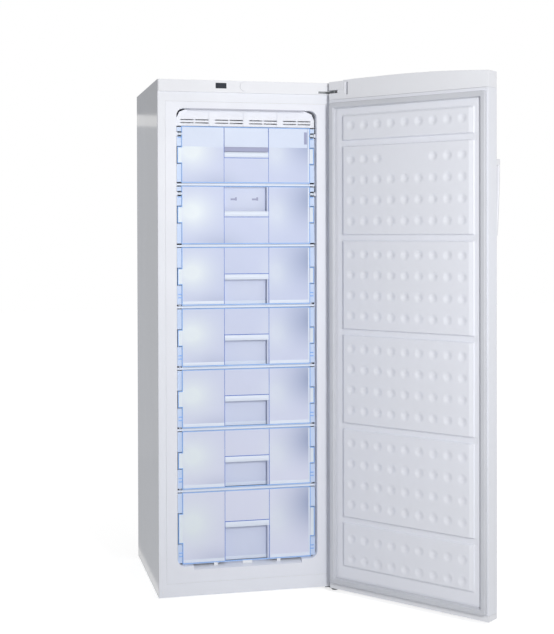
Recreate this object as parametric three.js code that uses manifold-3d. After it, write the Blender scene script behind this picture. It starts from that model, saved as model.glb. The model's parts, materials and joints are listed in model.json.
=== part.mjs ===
// An upright freezer, 595 mm wide and about 1.70 m tall, with its door standing open.
// Millimetres, +Z up. In the cabinet's own frame x = 0 is its middle, y = 0 its front face
// (+y is the back) and z = 0 the lower edge of its steel shell.
import * as THREE from "three";
import { mergeGeometries, mergeVertices } from "three/addons/utils/BufferGeometryUtils.js";
import Module from "manifold-3d";

const wasm = await Module();
wasm.setup();

// ---------------------------------------------------------------- driving dimensions
const GAP = 0.3; // clearance between pieces that touch
const REACH = 2; // how far a cutting body runs past the face it opens
const TAU = Math.PI * 2;

// Cabinet shell
const CABINET = { width: 595, height: 1680, depth: 544 };
const HALF = CABINET.width / 2;
const FLOOR_GAP = 15; // the feet hold the shell this far off the floor
const SHEET = 1.2; // steel sheet
const FRAME = { side: 26, bottom: 43, top: 70 }; // the steel frame seen around the front
const LID_DEPTH = 6; // the plastic top cover
const REAR_RECESS = 25; // depth of the recess behind the back sheet, where the condenser hangs

// Cavity, inside foamed walls of these thicknesses
const WALL = { side: 62.5, top: 92, back: 74 };
const CAVITY_HALF = HALF - WALL.side;
const CAVITY = {
  width: 2 * CAVITY_HALF, bottom: 98, top: CABINET.height - WALL.top,
  depth: CABINET.depth - WALL.back, radius: 24,
};
const LINER = 2.5; // plastic liner
const INSULATION = 59; // foam above and in front of the compressor compartment

// Compartments, counted from the top: two behind flaps, five drawers
const FRONT_PLANE = 18; // the fronts stand this far behind the cabinet's front
const FRONT_SHEET = 2.5;
const FIRST_LEVEL = 345.3; // lower edge of the lowest front above the bottom drawer
const LEVEL_COUNT = 6; // fronts above the bottom drawer
const FRONT_GAP = 10.4; // from the top of a front to the next one's lower edge
const TOP_TRIM = 6; // the top flap is this much shorter than the others
const SHELF = { sheet: 4, below: 3, lip: 1.2, front: 26, sideGap: 3.5, backGap: 18 };
const HUMP_GAP = 3.3; // between the lowest shelf and the step over the compressor
const HUMP_DEPTH = 238; // the step over the compressor, from the cavity's back
const HUMP = {
  front: CAVITY.depth - HUMP_DEPTH, top: FIRST_LEVEL - SHELF.below - SHELF.sheet - HUMP_GAP, radius: 3,
};
const GRILLE = {
  plane: 22, sheet: 2.5, height: 55.4, half: CAVITY_HALF - 3, corner: 30, flapGap: 1.3,
};
const GRILLE_BOTTOM = CAVITY.top - GRILLE.height;
const PITCH =
  (GRILLE_BOTTOM - GRILLE.flapGap + FRONT_GAP + TOP_TRIM - FIRST_LEVEL) / LEVEL_COUNT;
const FRONT_HEIGHT = PITCH - FRONT_GAP;
const TOP_FLAP_HEIGHT = FRONT_HEIGHT - TOP_TRIM;
const BOTTOM_FRONT_HEIGHT = FIRST_LEVEL - CAVITY.bottom - SHELF.below - FRONT_GAP + 0.1;
const NARROW = CAVITY_HALF - 18.5; // half-widths of a front at its ends and at its middle tab
const WIDE = CAVITY_HALF - 5;
const TAB = { low: 67, high: 121, bottomHigh: 165 }; // the wide tab, from a front's foot edge
const RUNG = { first: 24, second: 35, height: 3, reach: CAVITY_HALF - 7 };
const POCKET = { width: 150, depth: 42, bar: 82.5, top: 101.5, bottomBar: 112, bottomTop: 131 };
const TUB = { half: CAVITY_HALF - 9, wall: 2, floor: 12, rimDrop: 34, back: CAVITY.depth - 30 };
const BOTTOM_TUB_BACK = HUMP.front - 8;
const FLAP_PIN = { radius: 3, boss: 7, end: CAVITY_HALF - 1.5, bore: 3.3 };
const DRAWER_FOOT = { half: 16, side: 106, sideHalf: 6, drop: 6, sideDrop: 2.5 };
const GUTTER = { width: CAVITY.width - 106, drop: 13, run: 34 }; // sill below the bottom drawer

// Door, in its own frame: x = 0, y = 0 is the hinge axis, the inner face looks to +y
const DOOR = {
  width: CABINET.width - 1, thickness: 56, bottom: 3, archTop: CABINET.height + 6, radius: 6,
};
const CREST = { at: 0.42, hingeDrop: 3, freeDrop: 14 }; // where the arch is highest, its two falls
const DOOR_OPEN = 127.85; // degrees from closed
const AXIS = { fromEnd: 9.5, fromInner: 14 }; // hinge axis, from the door's end and inner face
const DOOR_GAP = 12; // inner face to cabinet front when the door is shut
const BOW = 6; // the front bulges this far in the middle
const TOP_CAP_HEIGHT = 64; // from its lower edge to the top of its arch
const CAP_BOTTOM = DOOR.archTop - TOP_CAP_HEIGHT;
const FOOT_CAP_TOP = 21; // upper edge of the door's bottom cap
const GASKET = { outer: 5, width: 21, bottom: 22, top: CAP_BOTTOM - 11, height: 11.4 };
const RIM = { side: 27, bottom: 46, top: GASKET.top - 22, slope: 2, height: 3 };
const PAD = {
  hinge: 54, free: DOOR.width - 49, side: 14, bottom: 84, top: RIM.top - 19, edge: 9,
  height: 11.5, hollow: 6.5,
};
const BEAD = {
  first: 241, pitch: 308.4, half: 12, wall: 3, from: 41, to: DOOR.width - 34, end: 7, level: 1,
};
const DIMPLE = {
  first: 85, pitch: 51.6, rowPitch: 66.8, sides: 6, radius: 17, foot: 9, depth: 3.5,
};
const HANDLE = {
  from: CAP_BOTTOM - 450, to: CAP_BOTTOM - 214, inner: DOOR.width - 34, outer: DOOR.width - 10, low: 21, high: 36,
  foot: 20, bar: 9,
};

// Hinges
const ARM = {
  drop: 34, sheet: 4, radius: 10, left: HALF - 35.5, right: HALF - 1.5, plateLeft: HALF - 57.5,
};
const ARM_Z = CABINET.height - ARM.drop;
const PIN_RADIUS = 4;
const ARM_SLOT = { low: ARM_Z - 3, high: ARM_Z + 7, inner: 24, depth: 42 };

// Control panel
const FASCIA = { bottom: CABINET.height - 39, proud: 6, wall: 2.4, corner: 5 };
const DISPLAY = { x: -89, z: FASCIA.bottom + 22, width: 36, height: 18 };
const BUTTON = { x: -11.5, z: FASCIA.bottom + 20.5, radius: 14.5, proud: 2.2, travel: 1.5 };

// Evaporator compartment at the top of the cavity
const SLOT = { height: 3.6, rows: [10.4, 20.4], fromPillar: 11, between: 5 };
const PILLAR_PITCH = (GRILLE.half - 3) / 2;
const TRAY = { bottom: CAVITY.top - 113, top: CAVITY.top - 18, front: 76, sheet: 2 };
const SENSOR = { fromSide: 18, width: 20, low: 12, high: 46 };
const FAN = { y: CAVITY.depth - 45, z: TRAY.bottom + 52, radius: 40, blades: 5, shroudGap: 20 };
const SHROUD = FAN.y - FAN.shroudGap;
const COIL = { front: 120, back: SHROUD - 25, fins: 22, pitch: 18, above: 16, foot: 10 };
const DUCT = { half: CAVITY_HALF - 35, depth: 14, vent: 9 };

// Machine compartment
const FOOT = { x: HALF - 47.5, y: 72, radius: 17, height: 9, stem: 5 };
const ROLLER = { x: HALF - 57.5, y: CABINET.depth - 44, radius: 15, width: 16, axle: 3 };
const CAN = { fromBack: 132, radius: 72 }; // the compressor's can
const COMPRESSOR = {
  x: 70, y: CABINET.depth - CAN.fromBack, radius: CAN.radius, height: 150, base: 12,
};
const TERMINAL = { width: 32, depth: 48, low: 50, high: 104 };
const DRIP_TRAY = { margin: 100, front: 70, height: 48, wall: 2 };

// ---------------------------------------------------------------- shape helpers

/** A closed geometry as a solid for joining and cutting. */
function solid(geometry) {
  const bare = new THREE.BufferGeometry();
  bare.setAttribute("position", geometry.getAttribute("position"));
  if (geometry.index) bare.setIndex(geometry.index);
  const merged = mergeVertices(bare, 1e-4);
  return new wasm.Manifold(
    new wasm.Mesh({
      numProp: 3,
      vertProperties: merged.getAttribute("position").array,
      triVerts: new Uint32Array(merged.index.array),
    }),
  );
}

/** A solid back as a geometry with flat faces. */
function geometryOf(body) {
  const mesh = body.getMesh();
  const geometry = new THREE.BufferGeometry();
  geometry.setAttribute("position", new THREE.BufferAttribute(mesh.vertProperties, 3));
  geometry.setIndex(new THREE.BufferAttribute(mesh.triVerts, 1));
  const flat = geometry.toNonIndexed();
  flat.computeVertexNormals();
  return flat;
}

const join = (...geometries) =>
  geometryOf(geometries.map(solid).reduce((sum, body) => sum.add(body)));
const cut = (geometry, ...tools) =>
  geometryOf(tools.map(solid).reduce((rest, tool) => rest.subtract(tool), solid(geometry)));
const common = (a, b) => geometryOf(solid(a).intersect(solid(b)));

/** A box given by its lowest and highest x, y and z. */
function box(x0, x1, y0, y1, z0, z1) {
  const geometry = new THREE.BoxGeometry(x1 - x0, y1 - y0, z1 - z0);
  return geometry.translate((x0 + x1) / 2, (y0 + y1) / 2, (z0 + z1) / 2);
}

/** A round bar along an axis ("x", "y" or "z"), centred on the other two coordinates. */
function rod(axis, radius, from, to, a, b, sides = 16) {
  const geometry = new THREE.CylinderGeometry(radius, radius, to - from, sides);
  const middle = (from + to) / 2;
  if (axis === "x") return geometry.rotateZ(-Math.PI / 2).translate(middle, a, b);
  if (axis === "y") return geometry.translate(a, middle, b);
  return geometry.rotateX(Math.PI / 2).translate(a, b, middle);
}

const outline = (points) => new THREE.Shape(points.map(([x, y]) => new THREE.Vector2(x, y)));

function extrude(shape, depth, segments = 6) {
  return new THREE.ExtrudeGeometry(shape, {
    depth,
    bevelEnabled: false,
    curveSegments: segments,
  });
}

/** An outline in (x, y) carried from z0 to z1. */
const upright = (shape, z0, z1, segments) =>
  extrude(shape, z1 - z0, segments).translate(0, 0, z0);

/** An outline in (x, z) carried from y0 to y1. */
const facing = (shape, y0, y1, segments) =>
  extrude(shape, y1 - y0, segments).rotateX(Math.PI / 2).translate(0, y1, 0);

/** An outline in (y, z) carried from x0 to x1. */
function sideways(shape, x0, x1, segments) {
  const turn = new THREE.Matrix4().makeBasis(
    new THREE.Vector3(0, 1, 0),
    new THREE.Vector3(0, 0, 1),
    new THREE.Vector3(1, 0, 0),
  );
  return extrude(shape, x1 - x0, segments).applyMatrix4(turn).translate(x0, 0, 0);
}

/** A rectangle with rounded corners as an outline; its lower corners may have their own radius. */
function rounded(x0, x1, y0, y1, radius, lower = radius) {
  const shape = new THREE.Shape();
  shape.moveTo(x0 + lower, y0);
  shape.lineTo(x1 - lower, y0);
  shape.absarc(x1 - lower, y0 + lower, lower, -Math.PI / 2, 0);
  shape.lineTo(x1, y1 - radius);
  shape.absarc(x1 - radius, y1 - radius, radius, 0, Math.PI / 2);
  shape.lineTo(x0 + radius, y1);
  shape.absarc(x0 + radius, y1 - radius, radius, Math.PI / 2, Math.PI);
  shape.lineTo(x0, y0 + lower);
  shape.absarc(x0 + lower, y0 + lower, lower, Math.PI, Math.PI * 1.5);
  return shape;
}

/** A closed tube with its section carried along a list of points, mitred at each one. */
function tube(points, radius, sides) {
  const path = points.map((p) => new THREE.Vector3(...p));
  const position = [];
  const index = [];
  const side = new THREE.Vector3();
  path.forEach((point, i) => {
    const before = path[Math.max(i - 1, 0)];
    const after = path[Math.min(i + 1, path.length - 1)];
    const along = after.clone().sub(before).normalize();
    const seed = i === 0 ? new THREE.Vector3(0.31, 0.83, 0.46) : side.clone();
    side.copy(seed).addScaledVector(along, -seed.dot(along)).normalize();
    const other = along.clone().cross(side);
    for (let k = 0; k < sides; k++) {
      const angle = (k / sides) * TAU;
      const spot = point.clone();
      spot.addScaledVector(side, radius * Math.cos(angle));
      spot.addScaledVector(other, radius * Math.sin(angle));
      position.push(spot.x, spot.y, spot.z);
    }
  });
  for (let i = 0; i < path.length - 1; i++) {
    for (let k = 0; k < sides; k++) {
      const a = i * sides + k;
      const b = i * sides + ((k + 1) % sides);
      index.push(a, b, b + sides, a, b + sides, a + sides);
    }
  }
  const last = (path.length - 1) * sides;
  for (let k = 1; k < sides - 1; k++) {
    index.push(0, k + 1, k);
    index.push(last, last + k, last + k + 1);
  }
  const geometry = new THREE.BufferGeometry();
  geometry.setAttribute("position", new THREE.Float32BufferAttribute(position, 3));
  geometry.setIndex(index);
  return geometry;
}

// ---------------------------------------------------------------- finishes
const paint = (color, roughness, metalness = 0) =>
  new THREE.MeshStandardMaterial({ color, roughness, metalness });
const FINISH = {
  steel: paint(0xe9e9ee, 0.35, 0.1),
  liner: paint(0xe6e7ee, 0.4),
  plastic: paint(0xebebf0, 0.35),
  clear: paint(0xc9daf4, 0.12),
  frosted: paint(0xdde2f0, 0.5),
  gasket: paint(0xc4c6ca, 0.7),
  zinc: paint(0x8d9296, 0.35, 0.9),
  black: paint(0x17191c, 0.35),
  foam: paint(0xe8dcae, 0.95),
  aluminium: paint(0xb9bdc2, 0.35, 0.9),
  copper: paint(0xb5703f, 0.35, 0.9),
  board: paint(0x1f6b3a, 0.6),
};

/** A named piece of the freezer. */
function piece(name, geometry, finish) {
  const mesh = new THREE.Mesh(geometry, finish);
  mesh.name = name;
  return mesh;
}

// ---------------------------------------------------------------- sizes worked out from these
const INNER_HALF = HALF - SHEET; // inside of the shell's side walls
const LID_SEAT = CABINET.height - LID_DEPTH; // top of the shell's roof sheet
const BACK_SHEET = CABINET.depth - REAR_RECESS; // rear face of the back sheet
const NICHE_TOP = HUMP.top - LINER - INSULATION;
const NICHE_FRONT = HUMP.front + LINER + INSULATION;
const PAN_BOTTOM = 3; // floor pan, above the shell's lower edge

// Lower edges of the fronts and tops of what carries them, from the top compartment down
const levels = Array.from(
  { length: LEVEL_COUNT }, (_, i) => FIRST_LEVEL + (LEVEL_COUNT - 1 - i) * PITCH,
);
const shelfTop = levels.map((level) => level - SHELF.below);
const bottomLevel = CAVITY.bottom + SHELF.below;

// ---------------------------------------------------------------- cabinet shell

/** The wrapped steel sheet: two sides, a roof and the frame around the front opening. */
function outerShell() {
  const body = box(-HALF, HALF, 0, CABINET.depth, 0, CABINET.height);
  const roofUnder = LID_SEAT - SHEET;
  const inside = box(-INNER_HALF, INNER_HALF, SHEET, CABINET.depth + REACH, -REACH, roofUnder);
  const lidBed = box(
    -INNER_HALF, INNER_HALF, SHEET, CABINET.depth + REACH, LID_SEAT, CABINET.height + REACH,
  );
  const window = box(
    -HALF + FRAME.side, HALF - FRAME.side, -REACH, SHEET + REACH,
    FRAME.bottom, CABINET.height - FRAME.top,
  );
  const control = box(
    DISPLAY.x - 38, BUTTON.x + 48, -REACH, SHEET + REACH, FASCIA.bottom + 7, LID_SEAT - 4,
  );
  return cut(body, inside, lidBed, window, control);
}

/** The cavity's empty space, grown outwards by a margin: tall part, and low part in front. */
function cavitySpace(margin, front) {
  const radius = CAVITY.radius + margin;
  const half = CAVITY_HALF + margin;
  const top = CAVITY.top + margin;
  const low = rounded(-half, half, CAVITY.bottom - margin, top, radius);
  const high = rounded(-half, half, HUMP.top - margin, top, radius, HUMP.radius + margin);
  return join(
    facing(low, front, HUMP.front + margin),
    facing(high, front, CAVITY.depth + margin),
  );
}

/** The sloped sill under the bottom drawer, as a wedge lowered by a margin. */
function gutterSpace(margin, front) {
  const low = CAVITY.bottom - GUTTER.drop - margin;
  const high = CAVITY.bottom - margin + 1;
  const foot = Math.max(front + 1, 1);
  const wedge = outline([[front, low], [foot, low], [GUTTER.run + margin, high], [front, high]]);
  return sideways(wedge, -GUTTER.width / 2 - margin, GUTTER.width / 2 + margin);
}

/** The plastic liner: front flange, five walls, step, sill, shelf ledges and flap bearings. */
function innerLiner() {
  const flange = box(
    -HALF + FRAME.side + GAP, HALF - FRAME.side - GAP, GAP, GAP + LINER,
    FRAME.bottom + GAP, CABINET.height - FRAME.top - GAP,
  );
  const shell = join(flange, cavitySpace(LINER, GAP), gutterSpace(LINER, GAP));
  const hollow = cut(shell, cavitySpace(0, -REACH), gutterSpace(0, -REACH));
  const ledges = shelfTop.flatMap((top) =>
    [-1, 1].map((side) => {
      const inner = side * (CAVITY_HALF - 6);
      const outer = side * (CAVITY_HALF + 1);
      const height = top - SHELF.sheet - GAP;
      return box(
        Math.min(inner, outer), Math.max(inner, outer),
        SHELF.front + 4, CAVITY.depth - 12, height - 4, height,
      );
    }),
  );
  const bosses = [];
  const bores = [];
  for (const z of flapPivots) {
    for (const side of [-1, 1]) {
      const ends = [side * (RUNG.reach + 1), side * (CAVITY_HALF + 1)].sort((a, b) => a - b);
      bosses.push(rod("x", FLAP_PIN.boss, ends[0], ends[1], PIVOT_Y, z, 14));
      const bore = [side * RUNG.reach, side * (FLAP_PIN.end + 1)].sort((a, b) => a - b);
      bores.push(rod("x", FLAP_PIN.bore, bore[0], bore[1], PIVOT_Y, z, 14));
    }
  }
  return cut(join(hollow, ...ledges, ...bosses), ...bores);
}

/** The foam that fills the cabinet between shell and liner. */
function insulation() {
  const side = INNER_HALF - GAP;
  const front = GAP + LINER + GAP;
  const back = BACK_SHEET - SHEET - GAP;
  const panTop = PAN_BOTTOM + SHEET + GAP;
  const body = box(-side, side, front, back, panTop, LID_SEAT - SHEET - GAP);
  const niche = box(
    -side - REACH, side + REACH, NICHE_FRONT - GAP, back + REACH,
    -REACH, NICHE_TOP + SHEET + GAP,
  );
  const gland = rod("y", GLAND.radius + GAP, back - 12, back + REACH, GLAND.x, GLAND.z, 16);
  const drain = rod("z", DRAIN.radius + GAP, NICHE_TOP - 5, TRAY.bottom + 5, DRAIN.x, DRAIN.y, 10);
  const controlBay = box(
    CONTROL_BOX.left - GAP, CONTROL_BOX.right + GAP, 0, CONTROL_BOX.back + GAP,
    CONTROL_BOX.bottom - GAP, CABINET.height,
  );
  const stems = [-1, 1].map((s) => rod("z", FOOT.stem + 2, -REACH, 34, s * FOOT.x, FOOT.y, 10));
  return cut(
    body, cavitySpace(LINER + GAP, -REACH), gutterSpace(LINER + GAP, -REACH),
    niche, gland, drain, controlBay, ...stems,
  );
}

/** The back sheet, set in between the sides of the shell. */
function rearPanel() {
  const sheet = box(
    -INNER_HALF + GAP, INNER_HALF - GAP, BACK_SHEET - SHEET, BACK_SHEET,
    NICHE_TOP + SHEET + GAP, LID_SEAT - SHEET - GAP,
  );
  const gland = rod("y", GLAND.radius + GAP, 0, CABINET.depth, GLAND.x, GLAND.z, 16);
  return cut(sheet, gland);
}

/** The bottom sheet, bent up and back over the machine compartment. */
function floorPan() {
  const low = PAN_BOTTOM;
  const bend = NICHE_FRONT;
  const back = BACK_SHEET - SHEET - GAP;
  const profile = outline([
    [SHEET + GAP, low], [bend + SHEET, low], [bend + SHEET, NICHE_TOP],
    [back, NICHE_TOP], [back, NICHE_TOP + SHEET], [bend, NICHE_TOP + SHEET],
    [bend, low + SHEET], [SHEET + GAP, low + SHEET],
  ]);
  const sheet = sideways(profile, -INNER_HALF + GAP, INNER_HALF - GAP);
  const holes = [-1, 1].map((s) =>
    rod("z", FOOT.stem + GAP, -REACH, low + SHEET + REACH, s * FOOT.x, FOOT.y, 16),
  );
  const drain = rod("z", DRAIN.radius + GAP, NICHE_TOP - 5, NICHE_TOP + 5, DRAIN.x, DRAIN.y, 10);
  return cut(sheet, ...holes, drain);
}

/** The plastic top cover, with a shallow bed pressed into it. */
function topCover() {
  const side = INNER_HALF - GAP;
  const plate = box(-side, side, SHEET + GAP, CABINET.depth, LID_SEAT + GAP, CABINET.height);
  const bed = upright(
    rounded(-side + 22, side - 22, 40, CABINET.depth - 40, 14),
    CABINET.height - 2, CABINET.height + REACH, 3,
  );
  return cut(plate, bed);
}

// ---------------------------------------------------------------- control panel

const CONTROL_BOX = {
  left: DISPLAY.x - 40,
  right: BUTTON.x + 50,
  bottom: FASCIA.bottom + 5,
  top: LID_SEAT - SHEET - GAP,
  back: 26,
};

/** The moulded strip across the top of the front, hollow at its back. */
function fascia() {
  const { wall, corner, proud, bottom } = FASCIA;
  const plan = rounded(-HALF, HALF, -proud, 3 * corner, corner);
  const behind = box(-HALF - REACH, HALF + REACH, -GAP, 4 * corner, bottom, CABINET.height);
  const body = cut(upright(plan, bottom, CABINET.height, 4), behind);
  const hollow = box(
    -HALF + wall, HALF - wall, -FASCIA.proud + wall, REACH,
    FASCIA.bottom + wall, CABINET.height - wall,
  );
  const window = box(
    DISPLAY.x - DISPLAY.width / 2, DISPLAY.x + DISPLAY.width / 2,
    -FASCIA.proud - REACH, REACH,
    DISPLAY.z - DISPLAY.height / 2, DISPLAY.z + DISPLAY.height / 2,
  );
  const hole = rod("y", BUTTON.radius + GAP, -FASCIA.proud - REACH, REACH, BUTTON.x, BUTTON.z, 28);
  const armSlot = box(
    ARM.plateLeft, HALF + REACH, -FASCIA.proud - REACH, REACH,
    ARM_Z - 2, ARM_Z + ARM.sheet + 2,
  );
  return cut(body, hollow, window, hole, armSlot);
}

/** The dark window of the display, with a flange behind the fascia. */
function displayWindow() {
  const face = -FASCIA.proud - 0.3;
  const behind = -FASCIA.proud + FASCIA.wall + GAP;
  const halfWidth = DISPLAY.width / 2 - GAP;
  const halfHeight = DISPLAY.height / 2 - GAP;
  return join(
    box(
      DISPLAY.x - halfWidth, DISPLAY.x + halfWidth, face, behind + 1.2,
      DISPLAY.z - halfHeight, DISPLAY.z + halfHeight,
    ),
    box(
      DISPLAY.x - halfWidth - 2, DISPLAY.x + halfWidth + 2, behind, behind + 1.2,
      DISPLAY.z - halfHeight - 2, DISPLAY.z + halfHeight + 2,
    ),
  );
}

/** The round button: cap, retaining flange and the stem that presses the switch. */
function modeButton() {
  const behind = -FASCIA.proud + FASCIA.wall + GAP;
  const { x, z, radius, proud } = BUTTON;
  return join(
    rod("y", radius, -FASCIA.proud - proud, behind + 1, x, z, 28),
    rod("y", radius + 1.2, behind, behind + 1.5, x, z, 28),
    rod("y", 3, behind, BOARD_FRONT - GAP - BUTTON.travel, x, z, 10),
  );
}

const BOARD_FRONT = 9;

/** The tray behind the panel that holds the board, open to the front. */
function controlBox() {
  const { left, right, bottom, top, back } = CONTROL_BOX;
  const wall = 2;
  const body = box(left, right, SHEET + GAP, back, bottom, top);
  return cut(body, box(left + wall, right - wall, 0, back - wall, bottom + wall, top - wall));
}

/** The circuit board in that tray, with its display block and relay. */
function controlBoard() {
  const inset = 2 + GAP;
  const { left, right, bottom, top } = CONTROL_BOX;
  const front = BOARD_FRONT;
  return join(
    box(left + inset, right - inset, front, front + 1.6, bottom + inset, top - inset),
    box(DISPLAY.x - 15, DISPLAY.x + 15, front - 6, front + 0.5, DISPLAY.z - 6, DISPLAY.z + 4),
    box(BUTTON.x + 22, BUTTON.x + 40, front + 1, front + 12, DISPLAY.z - 8, DISPLAY.z + 4),
  );
}

// ---------------------------------------------------------------- evaporator compartment

/** The air grille: a slotted front and the ledge that runs back from it to the tray. */
function airGrille() {
  const { plane, sheet, half, corner } = GRILLE;
  const bottom = GRILLE_BOTTOM;
  const top = CAVITY.top - 1.5;
  const face = outline([
    [-half, bottom], [half, bottom], [half, top - corner],
    [half - corner * 0.3, top - corner * 0.3], [half - corner, top],
    [-half + corner, top], [-half + corner * 0.3, top - corner * 0.3], [-half, top - corner],
  ]);
  const ledge = box(-half, half, plane, TRAY.front - GAP, bottom, bottom + 2);
  const pillars = [-PILLAR_PITCH, 0, PILLAR_PITCH].map((x) =>
    box(x - 10, x + 10, plane - 2.5, plane + 1, bottom, top - 6),
  );
  const { fromPillar, between, rows } = SLOT;
  const width = (PILLAR_PITCH - 2 * fromPillar - between + 0.5) / 2;
  const starts = [0, PILLAR_PITCH + 0.5].flatMap((x) => [
    x + fromPillar, x + fromPillar + width + between,
  ]);
  const slots = starts.flatMap((x) =>
    [-1, 1].flatMap((side) =>
      rows.map((row) => {
        const middle = side * (x + width / 2);
        const z = bottom + row;
        return box(
          middle - width / 2, middle + width / 2, plane - REACH - 1,
          plane + sheet + REACH, z - SLOT.height / 2, z + SLOT.height / 2,
        );
      }),
    ),
  );
  return cut(join(facing(face, plane, plane + sheet), ledge, ...pillars), mergeGeometries(slots));
}

/** The tray below the evaporator, closed in front, that catches the defrost water. */
function evaporatorTray() {
  const { bottom, front, sheet } = TRAY;
  const half = CAVITY_HALF - GAP - 2;
  const back = CAVITY.depth - GAP;
  const body = box(-half, half, front, back, bottom, TRAY.top);
  const inside = box(
    -half + sheet, half - sheet, front + sheet, back - sheet, bottom + sheet, TRAY.top + REACH,
  );
  const edge = CAVITY_HALF - SENSOR.fromSide;
  const sensor = box(
    edge - SENSOR.width, edge, front - REACH, front + 1,
    bottom + SENSOR.low, bottom + SENSOR.high,
  );
  return cut(body, inside, sensor);
}

/** The finned coil: a comb of fins on one spine, standing on a foot at each corner. */
function evaporatorCoil() {
  const { front, back, fins, pitch, foot } = COIL;
  const [low, high] = [TRAY.bottom + TRAY.sheet + COIL.above, CAVITY.top - 12];
  const start = (-(fins - 1) * pitch) / 2;
  const comb = [];
  for (let i = 0; i < fins; i++) {
    const x = start + i * pitch;
    comb.push([x, front], [x + 3, front]);
    if (i < fins - 1) comb.push([x + 3, back - 8], [x + pitch, back - 8]);
  }
  comb.push([-start + 3, back], [start, back]);
  const feet = [start - foot + 1, -start + 2].flatMap((x) =>
    [front, back - foot].map((y) =>
      box(x, x + foot, y, y + foot, TRAY.bottom + TRAY.sheet + GAP, high - 10),
    ),
  );
  return join(upright(outline(comb), low, high), ...feet);
}

/** The defrost heater: one rod folded twice below the coil's fins. */
function defrostHeater() {
  const z = TRAY.bottom + TRAY.sheet + GAP + 3.4;
  const runs = [[-170, 175], [170, 175], [190, 195], [190, 230], [170, 250], [-190, 250]];
  return tube(runs.map(([x, y]) => [x, y, z]), 3.4, 8);
}

/** The wall behind the coil that carries the fan. */
function fanShroud() {
  const half = CAVITY_HALF - GAP - 2 - TRAY.sheet - GAP;
  const { y, z, radius } = FAN;
  const shroud = SHROUD;
  const wall = box(
    -half, half, shroud, shroud + 2, TRAY.bottom + TRAY.sheet + GAP, TRAY.top + 4,
  );
  const ring = rod("y", radius + 6, shroud, y + 8, 0, z, 24);
  const mouth = rod("y", radius + 3, shroud - REACH, y + 8 + REACH, 0, z, 24);
  const bridge = box(-radius - 5, radius + 5, y + 4, y + 8, z - 6, z + 6);
  const seat = rod("y", 14, y + 3, y + 9, 0, z, 16);
  const bore = rod("y", 8 + GAP, y, y + 12, 0, z, 16);
  return cut(join(cut(join(wall, ring), mouth), bridge, seat), bore);
}

/** The fan's motor, with the shaft that the impeller sits on. */
function fanMotor() {
  const { y, z } = FAN;
  return join(
    rod("y", 8, y + 3, y + 12, 0, z, 16),
    rod("y", 17, y + 9 + GAP, y + 32, 0, z, 20),
    rod("y", 1.5, y - 14, y + 4, 0, z, 10),
  );
}

/** The impeller: a hub with its blades set at a pitch. */
function fanImpeller() {
  const { y, z, radius, blades } = FAN;
  const hub = cut(
    rod("y", 11, y - 15, y + 1, 0, z, 20),
    rod("y", 1.5 + GAP, y - 14 - GAP, y + REACH + 1, 0, z, 10),
  );
  const wings = [];
  for (let i = 0; i < blades; i++) {
    const wing = outline([[8, -6], [radius * 0.7, -12], [radius, -9], [radius, 9], [8, 6]]);
    const blade = upright(wing, -0.8, 0.8);
    blade.rotateX(THREE.MathUtils.degToRad(32));
    blade.rotateY((i / blades) * TAU);
    wings.push(blade.translate(0, y - 7, z));
  }
  return join(hub, ...wings);
}

/** The duct panel on the back wall, with four vents for each compartment below the tray. */
function airDuct() {
  const { half, depth, vent } = DUCT;
  const [low, high] = [HUMP.top + 8, TRAY.bottom - 4];
  const [front, back] = [CAVITY.depth - depth, CAVITY.depth - GAP];
  const body = box(-half, half, front, back, low, high);
  const inside = box(-half + 2, half - 2, front + 2, back + REACH, low - REACH, high + REACH);
  const vents = levels.slice(1).flatMap((level) =>
    [-3, -1, 1, 3].map((step) => {
      const x = step * 40 + Math.sign(step) * 3;
      const z = level + FRONT_HEIGHT - 29;
      return box(x - vent, x + vent, front - REACH, front + 2 + REACH, z - 8, z + 8);
    }),
  );
  return cut(body, inside, mergeGeometries(vents));
}

const DRAIN = { x: 40, y: CAVITY.depth + 22, radius: 6 };

/** The pipe that leads the defrost water down through the back wall to the drip tray. */
function drainTube() {
  const [low, high] = [COMPRESSOR_TOP + 40, TRAY.bottom - 2];
  const pipe = rod("z", DRAIN.radius, low, high, DRAIN.x, DRAIN.y, 10);
  return cut(pipe, rod("z", DRAIN.radius - 1.5, low - REACH, high + REACH, DRAIN.x, DRAIN.y, 10));
}

// ---------------------------------------------------------------- machine compartment

const BASE_TOP = 8; // upper face of the base rail that carries the compressor
const COMPRESSOR_TOP = BASE_TOP + COMPRESSOR.base + COMPRESSOR.height;

/** The base rail across the back, with the ears and axles of the two rollers. */
function baseRail() {
  const [front, back] = [NICHE_FRONT + SHEET + GAP, CABINET.depth - 2];
  const plate = box(-INNER_HALF + GAP, INNER_HALF - GAP, front, back, BASE_TOP - 2, BASE_TOP);
  const { x, y, radius, width, axle } = ROLLER;
  const wells = [-1, 1].map((s) =>
    box(
      s * x - width / 2 - 2, s * x + width / 2 + 2, y - radius - 4, y + radius + 4,
      -REACH, BASE_TOP + REACH,
    ),
  );
  const ears = [-1, 1].flatMap((s) =>
    [-1, 1].map((end) => {
      const middle = s * x + end * (width / 2 + 3);
      return box(middle - 1, middle + 1, y - 10, y + 10, -6, BASE_TOP - 1);
    }),
  );
  const axles = [-1, 1].map((s) =>
    rod("x", axle, s * x - width / 2 - 5, s * x + width / 2 + 5, y, 0, 12),
  );
  const lip = box(-INNER_HALF + GAP, INNER_HALF - GAP, front, front + 2, BASE_TOP - 1, BASE_TOP + 26);
  return join(cut(plate, ...wells), ...ears, ...axles, lip);
}

/** A rear roller on its axle. */
function roller(side) {
  const { x, y, radius, width, axle } = ROLLER;
  const [from, to] = [side * x - width / 2, side * x + width / 2];
  return cut(
    rod("x", radius, from, to, y, 0, 24),
    rod("x", axle + GAP, from - REACH, to + REACH, y, 0, 12),
  );
}

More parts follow.
